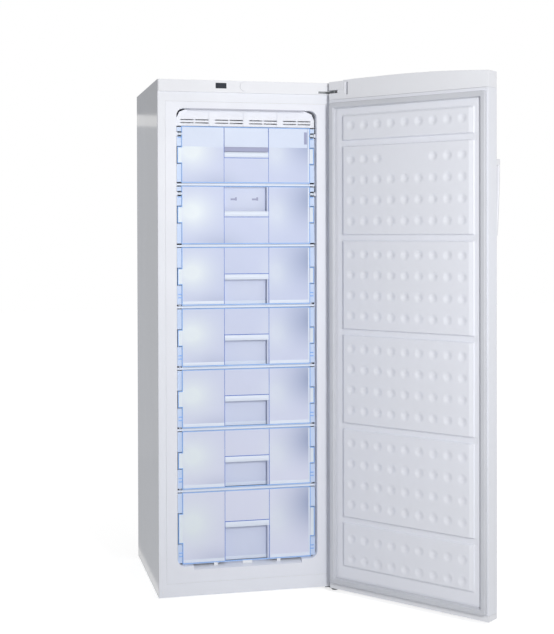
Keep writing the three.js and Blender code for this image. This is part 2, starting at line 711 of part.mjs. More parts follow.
/** A front levelling foot: pad and threaded stem. */
function levellingFoot(side) {
  const bottom = -FLOOR_GAP;
  return join(
    rod("z", FOOT.radius, bottom, bottom + FOOT.height, side * FOOT.x, FOOT.y, 20),
    rod("z", FOOT.stem, bottom + FOOT.height - 1, 24, side * FOOT.x, FOOT.y, 14),
  );
}

/** The hermetic compressor: a domed can on a base plate with four rubber feet. */
function compressorCan() {
  const { x, y, radius, height, base } = COMPRESSOR;
  const low = BASE_TOP + base;
  const profile = [
    [0, 0], [radius * 0.8, 0], [radius * 0.97, height * 0.12], [radius, height * 0.5],
    [radius * 0.96, height * 0.72], [radius * 0.72, height * 0.93], [radius * 0.3, height],
    [0, height],
  ];
  const can = new THREE.LatheGeometry(profile.map(([r, h]) => new THREE.Vector2(r, h)), 24);
  can.rotateX(Math.PI / 2).translate(x, y, low);
  const plate = box(x - 95, x + 95, y - 45, y + 45, low - 3, low + 2);
  const feet = [[-82, -33], [82, -33], [-82, 33], [82, 33]].map(([dx, dy]) =>
    rod("z", 9, BASE_TOP + GAP, low - 2, x + dx, y + dy, 12),
  );
  return join(can, plate, ...feet);
}

/** The starter box clipped on the compressor's side. */
function terminalBox() {
  const { x, y, radius } = COMPRESSOR;
  const { width, depth, low, high } = TERMINAL;
  const shell = box(
    x - radius - width, x - radius * 0.5, y - depth / 2, y + depth / 2, low, high,
  );
  const can = rod("z", radius + GAP, low - REACH, high + REACH, x, y, 48);
  return cut(shell, can);
}

/** The tray on top of the compressor that dries up the defrost water. */
function dripTray() {
  const { x, y } = COMPRESSOR;
  const low = COMPRESSOR_TOP + GAP;
  const { margin, front, height, wall } = DRIP_TRAY;
  const [left, right] = [x - margin, DRAIN.x + margin - wall];
  const [near, far] = [y - front, BACK_SHEET - 6];
  const body = box(left, right, near, far, low, low + height);
  const inside = box(
    left + wall, right - wall, near + wall, far - wall, low + wall, low + height + REACH,
  );
  return cut(body, inside);
}

const CONDENSER_INSET = 102.5; // the condenser's ends, from the cabinet's sides
const CONDENSER = {
  runs: 10, low: 340, pitch: 124, half: HALF - CONDENSER_INSET, radius: 2.6,
};
const CONDENSER_Y = CABINET.depth - 13;
const DRIER = { x: -150, y: CABINET.depth - 40, low: 120, high: 236, radius: 9 };
const LEAD_GAP = 0.8; // between the condenser's lead and the drier's stub

/** The serpentine condenser: its tube and lead, its upright wires and its four pads. */
function condenser() {
  const { runs, low, pitch, half, radius } = CONDENSER;
  const y = CONDENSER_Y;
  const path = [
    [DRIER.x, DRIER.y, DRIER.high + LEAD_GAP], [DRIER.x, DRIER.y, DRIER.high + 12],
    [DRIER.x - 14, DRIER.y + 8, DRIER.high + 18], [-half - 20, y - 4, DRIER.high + 20],
    [-half - 28, y, DRIER.high + 32], [-half - 28, y, low - 14], [-half - 16, y, low],
  ];
  for (let i = 0; i < runs; i++) {
    const z = low + i * pitch;
    const to = i % 2 ? -1 : 1;
    if (i > 0) path.push([-to * half, y, z]);
    path.push([to * half, y, z]);
    if (i === runs - 1) break;
    path.push([to * (half + pitch * 0.3), y, z + pitch * 0.17]);
    path.push([to * (half + pitch * 0.3), y, z + pitch * 0.83]);
  }
  const top = low + (runs - 1) * pitch;
  const wires = [-160, -80, 0, 80, 160].map((x) =>
    box(x - 1, x + 1, y + 1, y + 3.4, low - 12, top + 12),
  );
  const pads = [-160, 160].flatMap((x) =>
    [low + 20, top - 20].map((z) => box(x - 8, x + 8, BACK_SHEET + GAP, y + 2, z - 8, z + 8)),
  );
  return join(tube(path, radius, 5), ...wires, ...pads);
}

/** The filter drier, a small copper can, with the pipe that leads on to the compressor. */
function filterDrier() {
  const { x, y, low, high, radius } = DRIER;
  const end = COMPRESSOR.x - COMPRESSOR.radius;
  const pipe = tube(
    [
      [x, y, low + 4], [x, y, low - 40], [x + 12, y, low - 62], [x + 60, y - 14, low - 66],
      [end - 50, COMPRESSOR.y + 46, low - 62], [end - 12, COMPRESSOR.y + 44, low - 40],
      [end + 6, COMPRESSOR.y + 42, low - 12], [end + 12, COMPRESSOR.y + 41, low + 6],
    ],
    2.6, 6,
  );
  return join(
    rod("z", radius, low + 12, high - 12, x, y, 12),
    rod("z", 3.5, low, high, x, y, 8),
    pipe,
  );
}

const GLAND = { x: 150, z: NICHE_TOP + 23.5, radius: 10 };

/** The gland in the back sheet where a mains lead would come out. */
function cordGland() {
  const { x, z, radius } = GLAND;
  const back = BACK_SHEET;
  const body = join(
    rod("y", radius, back - 8, back + 4, x, z, 16),
    rod("y", radius + 5, back + GAP, back + 4, x, z, 16),
    rod("y", 7, back + 3, back + 14, x, z, 12),
  );
  return cut(body, rod("y", 3.6, back - 12, back + 20, x, z, 8));
}

// ---------------------------------------------------------------- shelves, flaps and drawers

/** A shelf with a shallow lip along its front. */
function shelf(top) {
  const { sheet, lip, front, backGap, sideGap } = SHELF;
  const [side, back] = [CAVITY_HALF - sideGap, CAVITY.depth - backGap];
  return join(
    box(-side, side, front, back, top - sheet, top),
    box(-side, side, front, front + 4, top - sheet - lip, top - 1),
  );
}

/**
 * A front as moulded, standing on its foot edge at z = 0: the sheet with its wide tab and
 * rungs at each side, and in its middle the open pocket with the grip bar over it.
 */
function frontMoulding(height, tabHigh, bar, pocketTop) {
  const half = POCKET.width / 2;
  const right = [
    [NARROW, 0], [NARROW, RUNG.first], [RUNG.reach, RUNG.first],
    [RUNG.reach, RUNG.first + RUNG.height], [NARROW, RUNG.first + RUNG.height],
    [NARROW, RUNG.second], [RUNG.reach, RUNG.second],
    [RUNG.reach, RUNG.second + RUNG.height], [NARROW, RUNG.second + RUNG.height],
    [NARROW, TAB.low], [WIDE, TAB.low], [WIDE, tabHigh], [NARROW, tabHigh], [NARROW, height],
  ];
  const left = right.map(([x, z]) => [-x, z]).reverse();
  const sheet = facing(
    outline([[half, 0], ...right, ...left, [-half, 0], [-half, bar], [half, bar]]),
    FRONT_PLANE, FRONT_PLANE + FRONT_SHEET,
  );
  const wall = 2;
  const back = FRONT_PLANE + POCKET.depth;
  const pocket = box(-half - wall, half + wall, FRONT_PLANE + 1, back + wall, 0, pocketTop);
  const hand = box(-half, half, FRONT_PLANE - REACH, back, -REACH, pocketTop - wall);
  const scoop = cut(pocket, hand);
  const rim = 7; // the sheet turns back along its sides and far edge
  const turned = [-1, 1].map((side) => {
    const edge = side * NARROW;
    const inner = side * (NARROW - wall);
    return box(
      Math.min(edge, inner), Math.max(edge, inner), FRONT_PLANE + 1,
      FRONT_PLANE + FRONT_SHEET + rim, 0, height,
    );
  });
  const crown = box(
    -NARROW, NARROW, FRONT_PLANE + 1, FRONT_PLANE + FRONT_SHEET + rim, height - wall, height,
  );
  return join(sheet, scoop, ...turned, crown);
}

const PIVOT_Y = FRONT_PLANE + FRONT_SHEET / 2;
const PIVOT_DROP = RUNG.first + RUNG.height / 2; // the flap's pins sit on its first rung
const flapHeights = [TOP_FLAP_HEIGHT, FRONT_HEIGHT];
const flapPivots = flapHeights.map((height, i) => levels[i] + height - PIVOT_DROP);

/** A flap: the front moulding hung foot edge up, with a pin at each side. */
function flap(index) {
  const height = flapHeights[index];
  const moulding = frontMoulding(height, TAB.high, POCKET.bar, POCKET.top);
  const turned = moulding.applyMatrix4(new THREE.Matrix4().makeScale(1, 1, -1));
  const flipped = turned.getAttribute("position");
  for (let i = 0; i < flipped.count; i += 3) {
    const a = new THREE.Vector3().fromBufferAttribute(flipped, i);
    const b = new THREE.Vector3().fromBufferAttribute(flipped, i + 1);
    flipped.setXYZ(i, b.x, b.y, b.z);
    flipped.setXYZ(i + 1, a.x, a.y, a.z);
  }
  turned.translate(0, 0, levels[index] + height);
  const pivot = flapPivots[index];
  const pins = [-1, 1].flatMap((side) => {
    const arm = [side * (NARROW - 2), side * RUNG.reach].sort((a, b) => a - b);
    const tip = [side * (NARROW - 1), side * FLAP_PIN.end].sort((a, b) => a - b);
    return [
      rod("x", FLAP_PIN.radius + 1.5, arm[0], arm[1], PIVOT_Y, pivot, 12),
      rod("x", FLAP_PIN.radius, tip[0], tip[1], PIVOT_Y, pivot, 12),
    ];
  });
  return join(turned, ...pins);
}

/** A drawer's front, with its lower edge at the given height. */
function drawerFront(level, height, tabHigh, bar, pocketTop) {
  return frontMoulding(height, tabHigh, bar, pocketTop).translate(0, 0, level);
}

/** The bottom drawer's front, with the three small feet below its edge. */
function bottomFront() {
  const { half, side, sideHalf, drop, sideDrop } = DRAWER_FOOT;
  const z = bottomLevel;
  const back = FRONT_PLANE + FRONT_SHEET;
  const front = drawerFront(
    z, BOTTOM_FRONT_HEIGHT, TAB.bottomHigh, POCKET.bottomBar, POCKET.bottomTop,
  );
  const bridge = box(-POCKET.width / 2 - 1, POCKET.width / 2 + 1, FRONT_PLANE, back, z, z + 3);
  const feet = [
    box(-half, half, FRONT_PLANE, back, z - drop, z + 3),
    box(side - sideHalf, side + sideHalf, FRONT_PLANE, back, z - sideDrop, z + 1),
    box(-side - sideHalf, -side + sideHalf, FRONT_PLANE, back, z - sideDrop, z + 1),
  ];
  return join(front, bridge, ...feet);
}

/** A drawer's tub: raised floor, side and back walls, skirts that slide on the shelf. */
function tub(support, level) {
  const front = FRONT_PLANE + FRONT_SHEET + 7 + GAP;
  const { half, wall, floor, rimDrop, back } = TUB;
  const height = FRONT_HEIGHT - rimDrop;
  const low = support + GAP;
  const floorTop = level + floor + wall;
  const body = box(-half, half, front, back, low, level + height);
  const inside = box(
    -half + wall, half - wall, front - REACH, back - wall, floorTop, level + height + REACH,
  );
  const under = box(-half + wall, half - wall, front + wall, back - wall, low - REACH, level + floor);
  const pocketHalf = POCKET.width / 2 + 2 + GAP;
  const notch = box(
    -pocketHalf, pocketHalf, front - REACH, FRONT_PLANE + POCKET.depth + 2 + GAP,
    low - REACH, level + height + REACH,
  );
  return cut(body, inside, under, notch);
}

/** The bottom drawer's tub: short, and rounded below to follow the cavity's corners. */
function bottomTub() {
  const front = FRONT_PLANE + FRONT_SHEET + 7 + GAP;
  const { half, wall } = TUB;
  const back = BOTTOM_TUB_BACK;
  const low = CAVITY.bottom + GAP;
  const top = bottomLevel + BOTTOM_FRONT_HEIGHT - TUB.rimDrop;
  const radius = CAVITY.radius - 2;
  const body = facing(rounded(-half, half, low, top, 1, radius), front, back);
  const inside = facing(
    rounded(-half + wall, half - wall, low + wall, top + REACH, 1, radius - wall),
    front - REACH, back - wall,
  );
  const pocketHalf = POCKET.width / 2 + 2 + GAP;
  const notch = box(
    -pocketHalf, pocketHalf, front - REACH, FRONT_PLANE + POCKET.depth + 2 + GAP,
    low - REACH, top + REACH,
  );
  return cut(body, inside, notch);
}

// ---------------------------------------------------------------- hinges on the cabinet

const AXIS_X = HALF - AXIS.fromEnd;
const AXIS_Y = -DOOR_GAP - AXIS.fromInner;

/** The plan of a hinge arm, from the cabinet out round the axis. */
function armOutline(back, right) {
  const { left, radius } = ARM;
  const shape = new THREE.Shape();
  shape.moveTo(left, back);
  shape.lineTo(AXIS_X - radius * 0.86, AXIS_Y + radius * 0.5);
  shape.absarc(AXIS_X, AXIS_Y, radius, (150 / 180) * Math.PI, TAU);
  shape.lineTo(Math.min(right, AXIS_X + radius), back);
  return shape;
}

/** The top bracket: a plate behind the fascia, its arm and the pin that points down. */
function topHinge() {
  const plateFront = -FASCIA.proud + FASCIA.wall + GAP;
  const { sheet, plateLeft } = ARM;
  const z = ARM_Z;
  return join(
    upright(armOutline(-GAP, ARM.right), z, z + sheet, 10),
    box(plateLeft, HALF - FASCIA.wall - GAP, plateFront, -GAP, z, z + 24),
    rod("z", PIN_RADIUS, CAP_BOTTOM + 3, z + 1, AXIS_X, AXIS_Y, 16),
    rod("z", PIN_RADIUS + 2, z + sheet - 1, z + sheet + 2, AXIS_X, AXIS_Y, 16),
  );
}

/** The bottom bracket: its arm below the shell, a plate under the floor and the pin. */
function bottomHinge() {
  const { left } = ARM;
  const sheet = 3;
  const top = DOOR.bottom - 1.5;
  const right = HALF - SHEET - GAP;
  return join(
    upright(armOutline(SHEET + 60, ARM.right), -GAP - sheet, -GAP, 10),
    box(left, right, SHEET + GAP, SHEET + 60, -GAP - sheet, PAN_BOTTOM - GAP),
    rod("z", PIN_RADIUS, -GAP - 1, FOOT_CAP_TOP - 4, AXIS_X, AXIS_Y, 16),
    rod("z", PIN_RADIUS + 2, -GAP - 1, top, AXIS_X, AXIS_Y, 16),
  );
}

/** The plug that closes the unused hinge hole at the frame's other lower corner. */
function hingePlug() {
  const [x, z] = [-HALF + 14, 18];
  return join(
    rod("y", 3.4, -1.6, -GAP, x, z, 16),
    rod("y", 1.6, -1, -0.1, x, z, 10),
  );
}

// ---------------------------------------------------------------- door, in its own frame

const DOOR_RIGHT = AXIS.fromEnd; // hinge end
const DOOR_LEFT = DOOR_RIGHT - DOOR.width; // free end
const DOOR_INNER = AXIS.fromInner;
const DOOR_FRONT = DOOR_INNER - DOOR.thickness;
const fromHinge = (u) => DOOR_RIGHT - u; // a distance from the hinge end as a local x

/** The door's plan, drawn in by a margin; its front bulges between two round corners. */
function doorPlan(margin) {
  const [left, right] = [DOOR_LEFT + margin, DOOR_RIGHT - margin];
  const [front, inner] = [DOOR_FRONT + margin, DOOR_INNER - margin];
  const radius = DOOR.radius - margin;
  const steps = 5;
  const points = [[right, inner], [left, inner]];
  for (let i = 0; i <= steps; i++) {
    const angle = Math.PI + (i / steps) * (Math.PI / 2);
    points.push([
      left + radius + radius * Math.cos(angle), front + radius + radius * Math.sin(angle),
    ]);
  }
  const span = right - left - 2 * radius;
  for (let i = 1; i < 8; i++) {
    const t = i / 8;
    points.push([left + radius + span * t, front - BOW * 4 * t * (1 - t)]);
  }
  for (let i = 0; i <= steps; i++) {
    const angle = Math.PI * 1.5 + (i / steps) * (Math.PI / 2);
    points.push([
      right - radius + radius * Math.cos(angle), front + radius + radius * Math.sin(angle),
    ]);
  }
  return outline(points);
}

/** The door's steel skin: front, both ends and the narrow returns on the inner face. */
function doorSkin() {
  const [low, high] = [FOOT_CAP_TOP + GAP, CAP_BOTTOM - GAP];
  const body = upright(doorPlan(0), low, high);
  const hollow = upright(doorPlan(SHEET), low - REACH, high + REACH);
  const mouth = box(
    DOOR_LEFT + 8, DOOR_RIGHT - 8, DOOR_INNER - SHEET - REACH, DOOR_INNER + REACH,
    low - REACH, high + REACH,
  );
  return cut(body, hollow, mouth);
}

/** The foam that fills the door and the hollow pads of its liner. */
function doorFoam() {
  const [low, high] = [FOOT_CAP_TOP + GAP, CAP_BOTTOM - GAP];
  const body = upright(doorPlan(SHEET + GAP), low, high);
  const linerBed = box(
    DOOR_LEFT - REACH, DOOR_RIGHT + REACH, DOOR_INNER - 2 - GAP, DOOR_INNER + REACH,
    low - REACH, high + REACH,
  );
  return join(cut(body, linerBed), ...padSpans().map((span) => padHollow(span, GAP)));
}

/** A frustum on y = level: its foot's two spans in x and z, then its crown's. */
function raisedBlock(foot, crown, level, height) {
  const geometry = new THREE.BufferGeometry();
  const [[a0, a1], [b0, b1]] = foot;
  const [[c0, c1], [d0, d1]] = crown;
  const top = level + height;
  const corners = [
    [a0, level, b0], [a1, level, b0], [a1, level, b1], [a0, level, b1],
    [c0, top, d0], [c1, top, d0], [c1, top, d1], [c0, top, d1],
  ];
  geometry.setAttribute("position", new THREE.Float32BufferAttribute(corners.flat(), 3));
  geometry.setIndex([
    0, 1, 2, 0, 2, 3, 4, 6, 5, 4, 7, 6, 0, 5, 1, 0, 4, 5,
    1, 6, 2, 1, 5, 6, 2, 7, 3, 2, 6, 7, 3, 4, 0, 3, 7, 4,
  ]);
  return geometry;
}

const beadCount = Math.floor((PAD.top - BEAD.half - BEAD.first) / BEAD.pitch) + 1;
const beadHeights = Array.from({ length: beadCount }, (_, i) => BEAD.first + i * BEAD.pitch);
const lastBead = beadHeights[beadCount - 1];
const dimpleReach = PAD.free - PAD.side - DIMPLE.radius - DIMPLE.first;
const dimpleColumns = Math.floor(dimpleReach / DIMPLE.pitch) + 1;

/** Heights of the dimples' rows: two below the lowest bead, four between beads, rest on top. */
function dimpleRows() {
  const rows = [beadHeights[0] - 58.7, beadHeights[0] - 58.7 - DIMPLE.rowPitch];
  for (let i = 0; i < beadCount - 1; i++) {
    const middle = beadHeights[i] + BEAD.pitch / 2;
    for (const step of [-1.5, -0.5, 0.5, 1.5]) rows.push(middle + step * DIMPLE.rowPitch);
  }
  const highest = PAD.top - DIMPLE.radius - 5;
  for (let z = lastBead + 57; z < highest; z += DIMPLE.rowPitch) rows.push(z);
  return rows;
}

/** The tool that presses one shallow dimple into a pad, a closed frustum about (x, z). */
function dimple(x, z) {
  const { sides, radius, foot, depth } = DIMPLE;
  const position = [];
  const index = [];
  for (const [r, y] of [[foot, -depth], [radius, 0.5]]) {
    for (let k = 0; k < sides; k++) {
      const angle = ((k + 0.5) / sides) * TAU;
      position.push(
        x + r * Math.cos(angle), DOOR_INNER + PAD.height + y, z + r * Math.sin(angle),
      );
    }
  }
  for (let k = 0; k < sides; k++) {
    const next = (k + 1) % sides;
    index.push(k, sides + k, sides + next, k, sides + next, next);
    if (k > 1) index.push(0, k - 1, k, sides, sides + k, sides + k - 1);
  }
  const geometry = new THREE.BufferGeometry();
  geometry.setAttribute("position", new THREE.Float32BufferAttribute(position, 3));
  geometry.setIndex(index);
  return geometry;
}

/** All the dimples in the door liner; three are left out for a bare place. */
function dimples() {
  const bareRow = lastBead - BEAD.pitch / 2 + 1.5 * DIMPLE.rowPitch;
  const middle = (dimpleColumns - 1) / 2;
  const list = [];
  for (const z of dimpleRows()) {
    for (let column = 0; column < dimpleColumns; column++) {
      const bare = Math.abs(z - bareRow) < 1 && Math.abs(column - middle) < 2;
      if (!bare) list.push(dimple(fromHinge(DIMPLE.first + column * DIMPLE.pitch), z));
    }
  }
  return mergeGeometries(list);
}

/** The heights between which each pad stands, from the lowest up. */
function padSpans() {
  const lows = [PAD.bottom, ...beadHeights.map((z) => z + BEAD.half)];
  const highs = [...beadHeights.map((z) => z - BEAD.half), PAD.top];
  return lows.map((low, i) => [low, highs[i]]);
}

/** The hollow behind one pad, drawn in by a margin. */
function padHollow([low, high], margin) {
  const [free, hinge] = [fromHinge(PAD.free) + margin, fromHinge(PAD.hinge) - margin];
  const level = DOOR_INNER - 2 - REACH;
  return raisedBlock(
    [[free + 10, hinge - 10], [low + 8 + margin, high - 8 - margin]],
    [[free + 16, hinge - 16], [low + 10 + margin, high - 10 - margin]],
    level, DOOR_INNER + PAD.hollow - margin - level,
  );
}

/** The door liner: flat flange, low rim and six raised pads, parted by sunk beads. */
function doorLiner() {
  const sheet = 2;
  const margin = 8 + GAP;
  const [low, high] = [FOOT_CAP_TOP + GAP, CAP_BOTTOM - GAP];
  const plate = box(
    DOOR_LEFT + margin, DOOR_RIGHT - margin, DOOR_INNER - sheet, DOOR_INNER, low, high,
  );
  const [left, right] = [fromHinge(DOOR.width - RIM.side), fromHinge(RIM.side)];
  const { slope } = RIM;
  const rim = raisedBlock(
    [[left, right], [RIM.bottom, RIM.top]],
    [[left + slope, right - slope], [RIM.bottom + slope, RIM.top - slope]],
    DOOR_INNER - 1, RIM.height + 1,
  );
  const [free, hinge] = [fromHinge(PAD.free), fromHinge(PAD.hinge)];
  const pad = raisedBlock(
    [[free, hinge], [PAD.bottom, PAD.top]],
    [[free + PAD.side, hinge - PAD.side], [PAD.bottom + PAD.edge, PAD.top - PAD.edge]],
    DOOR_INNER + RIM.height - 0.5, PAD.height - RIM.height + 0.5,
  );
  const rise = PAD.height - BEAD.level + 1;
  const flare = (BEAD.end * rise) / (RIM.height - BEAD.level) - BEAD.end;
  const beads = beadHeights.map((z) =>
    raisedBlock(
      [
        [fromHinge(BEAD.to - BEAD.end), fromHinge(BEAD.from + BEAD.end)],
        [z - BEAD.half + BEAD.wall, z + BEAD.half - BEAD.wall],
      ],
      [[fromHinge(BEAD.to + flare), fromHinge(BEAD.from - flare)], [z - BEAD.half, z + BEAD.half]],
      DOOR_INNER + BEAD.level, rise,
    ),
  );
  const hollows = padSpans().map((span) => padHollow(span, 0));
  return cut(join(plate, rim, pad), ...beads, ...hollows, dimples());
}

/** The magnetic gasket: a frame with a round nose, held against the door liner. */
function doorGasket() {
  const { outer, width, bottom, top, height } = GASKET;
  const [left, right] = [fromHinge(DOOR.width - outer), fromHinge(outer)];
  const level = DOOR_INNER + GAP;
  const body = raisedBlock(
    [[left, right], [bottom, top]],
    [[left + 2, right - 2], [bottom + 2, top - 2]],
    level, height,
  );
  const hole = raisedBlock(
    [[left + width, right - width], [bottom + width, top - width]],
    [[left + width - 2, right - width + 2], [bottom + width - 2, top - width + 2]],
    level, height,
  );
  const mouth = box(
    left + width, right - width, level - REACH, level + height + REACH,
    bottom + width, top - width,
  );
  return cut(body, hole, mouth);
}

/** Height of the cap's upper edge at a share of the door's width, from the hinge end. */
function capEdge(share) {
  const drop = share < CREST.at ? CREST.hingeDrop : CREST.freeDrop;
  const run = share < CREST.at ? CREST.at : 1 - CREST.at;
  return DOOR.archTop - drop * ((share - CREST.at) / run) ** 2;
}

/** The door's arched top edge as an outline in (x, z), from a height upwards. */
function archOutline(from, inset) {
  const shape = new THREE.Shape();
  const steps = 12;
  shape.moveTo(DOOR_LEFT - REACH, from);
  shape.lineTo(DOOR_RIGHT + REACH, from);
  for (let i = 0; i <= steps; i++) {
    const end = i === 0 ? REACH : i === steps ? -REACH : 0;
    shape.lineTo(fromHinge((i / steps) * DOOR.width) + end, capEdge(i / steps) - inset);
  }
  return shape;
}

const INSERT = { width: 55, depth: 26, low: ARM_SLOT.high + 1.5 };

/** The door's top cap with its arch, the slot for the hinge arm and the insert's bed. */
function doorTopCap() {
  const block = upright(doorPlan(0), CAP_BOTTOM, DOOR.archTop + 2);
  const arched = common(block, facing(archOutline(CAP_BOTTOM - 1, 0), -200, 200));
  const room = common(
    upright(doorPlan(3), CAP_BOTTOM - REACH, DOOR.archTop),
    facing(archOutline(CAP_BOTTOM - 3, 3), -200, 200),
  );
  const keep = box(
    fromHinge(INSERT.width + 24), DOOR_RIGHT + REACH, -200, 200, CAP_BOTTOM - 5, DOOR.archTop + 9,
  );
  const armSlot = box(
    -ARM_SLOT.inner, DOOR_RIGHT + REACH, DOOR_INNER - ARM_SLOT.depth, DOOR_INNER + REACH,
    ARM_SLOT.low, ARM_SLOT.high,
  );
  const bed = box(
    fromHinge(INSERT.width) - GAP, DOOR_RIGHT + REACH, DOOR_INNER - INSERT.depth - GAP,
    DOOR_INNER + REACH, INSERT.low - GAP, DOOR.archTop + 9,
  );
  const groove = box(
    fromHinge(INSERT.width + 19), fromHinge(INSERT.width + 9), DOOR_INNER - 14,
    DOOR_INNER + REACH, ARM_SLOT.low - 7, DOOR.archTop - 9,
  );
  const bore = rod("z", PIN_RADIUS + GAP, CAP_BOTTOM + 2, ARM_SLOT.low + 1, 0, 0, 16);
  return cut(arched, cut(room, keep), armSlot, bed, groove, bore);
}

/** The insert that closes the cap above the hinge arm. */
function capInsert() {
  const block = box(
    fromHinge(INSERT.width), DOOR_RIGHT, DOOR_INNER - INSERT.depth, DOOR_INNER + 0.8,
    INSERT.low, DOOR.archTop + 9,
  );
  return common(block, facing(archOutline(INSERT.low - 1, 2.5), -200, 200));
}

/** The door's bottom cap with the bore of its hinge bush. */
function doorBottomCap() {
  const block = upright(doorPlan(0), DOOR.bottom, FOOT_CAP_TOP);
  const room = upright(doorPlan(3), DOOR.bottom + 3, FOOT_CAP_TOP + REACH);
  const keep = box(fromHinge(40), DOOR_RIGHT + REACH, -200, 200, 0, FOOT_CAP_TOP + 9);
  const bore = rod("z", PIN_RADIUS + GAP, DOOR.bottom - REACH, FOOT_CAP_TOP - 3, 0, 0, 16);
  return cut(block, cut(room, keep), bore);
}

/** The pull handle: a tapering grip on two feet, deepest at its upper end. */
function doorHandle() {
  const { from, to, inner, outer, low, high, foot, bar } = HANDLE;
  const t = (inner - DOOR.radius) / (DOOR.width - 2 * DOOR.radius);
  const face = DOOR_FRONT - BOW * 4 * t * (1 - t) - GAP;
  const steps = 6;
  const outside = [];
  const inside = [];
  for (let i = 0; i <= steps; i++) {
    const s = i / steps;
    const z = from + s * (to - from);
    const reach = low + (high - low) * (1 - (1 - s) ** 1.6);
    outside.push([face - reach, z]);
    const innerZ = from + foot + s * (to - from - 2 * foot);
    const innerReach = low + (high - low) * (1 - (1 - s) ** 1.6) - bar;
    inside.push([face - innerReach, innerZ]);
  }
  const side = sideways(
    outline([[face, from], ...outside, [face, to], [face, to - foot],
      ...inside.reverse(), [face, from + foot]]),
    fromHinge(outer), fromHinge(inner),
  );
  return side;
}

// ---------------------------------------------------------------- assembly

const cabinet = new THREE.Group();
cabinet.position.z = FLOOR_GAP;
cabinet.add(
  piece("outer_shell", outerShell(), FINISH.steel),
  piece("inner_liner", innerLiner(), FINISH.liner),
  piece("insulation_foam", insulation(), FINISH.foam),
  piece("rear_panel", rearPanel(), FINISH.steel),
  piece("floor_pan", floorPan(), FINISH.zinc),
  piece("top_cover", topCover(), FINISH.plastic),
  piece("control_panel", fascia(), FINISH.plastic),
  piece("display_window", displayWindow(), FINISH.black),
  piece("mode_button", modeButton(), FINISH.plastic),
  piece("control_box", controlBox(), FINISH.plastic),
  piece("control_board", controlBoard(), FINISH.board),
  piece("air_grille", airGrille(), FINISH.liner),
  piece("evaporator_tray", evaporatorTray(), FINISH.liner),
  piece("evaporator_coil", evaporatorCoil(), FINISH.aluminium),
  piece("defrost_heater", defrostHeater(), FINISH.zinc),
  piece("fan_shroud", fanShroud(), FINISH.plastic),
  piece("fan_motor", fanMotor(), FINISH.black),
  piece("fan_impeller", fanImpeller(), FINISH.plastic),
  piece("air_duct", airDuct(), FINISH.liner),
  piece("drain_tube", drainTube(), FINISH.plastic),
  piece("base_rail", baseRail(), FINISH.zinc),
  piece("compressor", compressorCan(), FINISH.black),
  piece("terminal_box", terminalBox(), FINISH.black),
  piece("drip_tray", dripTray(), FINISH.black),
  piece("condenser", condenser(), FINISH.black),
  piece("filter_drier", filterDrier(), FINISH.copper),
  piece("cord_gland", cordGland(), FINISH.black),
  piece("top_hinge_bracket", topHinge(), FINISH.zinc),
  piece("bottom_hinge_bracket", bottomHinge(), FINISH.zinc),
  piece("hinge_hole_plug", hingePlug(), FINISH.plastic),
);
for (const [side, name] of [[-1, "left"], [1, "right"]]) {
  cabinet.add(
    piece("levelling_foot_" + name, levellingFoot(side), FINISH.black),
    piece("rear_roller_" + name, roller(side), FINISH.black),
  );
}
shelfTop.forEach((top, i) => {
  cabinet.add(piece("shelf_" + (i + 1), shelf(top), FINISH.clear));
});
flapHeights.forEach((height, i) => {
  cabinet.add(piece("flap_" + (i + 1), flap(i), FINISH.clear));
});
levels.slice(2).forEach((level, i) => {
  const name = "drawer_" + (i + 1);
  const front = drawerFront(level, FRONT_HEIGHT, TAB.high, POCKET.bar, POCKET.top);
  cabinet.add(
    piece(name + "_front", front, FINISH.clear),
    piece(name + "_tub", tub(shelfTop[i + 2], level), FINISH.frosted),
  );
});
cabinet.add(
  piece("drawer_5_front", bottomFront(), FINISH.clear),
  piece("drawer_5_tub", bottomTub(), FINISH.frosted),
);

const door = new THREE.Group();
door.position.set(AXIS_X, AXIS_Y, FLOOR_GAP);
door.rotation.z = THREE.MathUtils.degToRad(DOOR_OPEN);
door.add(
  piece("door_skin", doorSkin(), FINISH.steel),
  piece("door_foam", doorFoam(), FINISH.foam),
  piece("door_liner", doorLiner(), FINISH.liner),
  piece("door_gasket", doorGasket(), FINISH.gasket),
  piece("door_top_cap", doorTopCap(), FINISH.plastic),
  piece("door_cap_insert", capInsert(), FINISH.plastic),
  piece("door_bottom_cap", doorBottomCap(), FINISH.plastic),
  piece("door_handle", doorHandle(), FINISH.plastic),
);

// The origin is below the middle of the whole object, on the floor.
const group = new THREE.Group();
group.add(cabinet, door);
group.updateMatrixWorld(true);
const extent = new THREE.Box3().setFromObject(group, true);
const middle = extent.getCenter(new THREE.Vector3());
cabinet.position.sub(new THREE.Vector3(middle.x, middle.y, extent.min.z));
door.position.sub(new THREE.Vector3(middle.x, middle.y, extent.min.z));

export default group;
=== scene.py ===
# %% [markdown]
# # An upright freezer with its door standing open
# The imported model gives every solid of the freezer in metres. This script dresses those solids:
# thin mouldings get rounded edges, the door liner gets its raised pads with pressed dimples, the
# clear fronts get their blue edges, and each plastic and metal gets a surface of its own. We read
# the few sizes that everything hangs on from the model itself, so that each new piece lands on
# what carries it.

# %% The frame and where things are
import json
import math

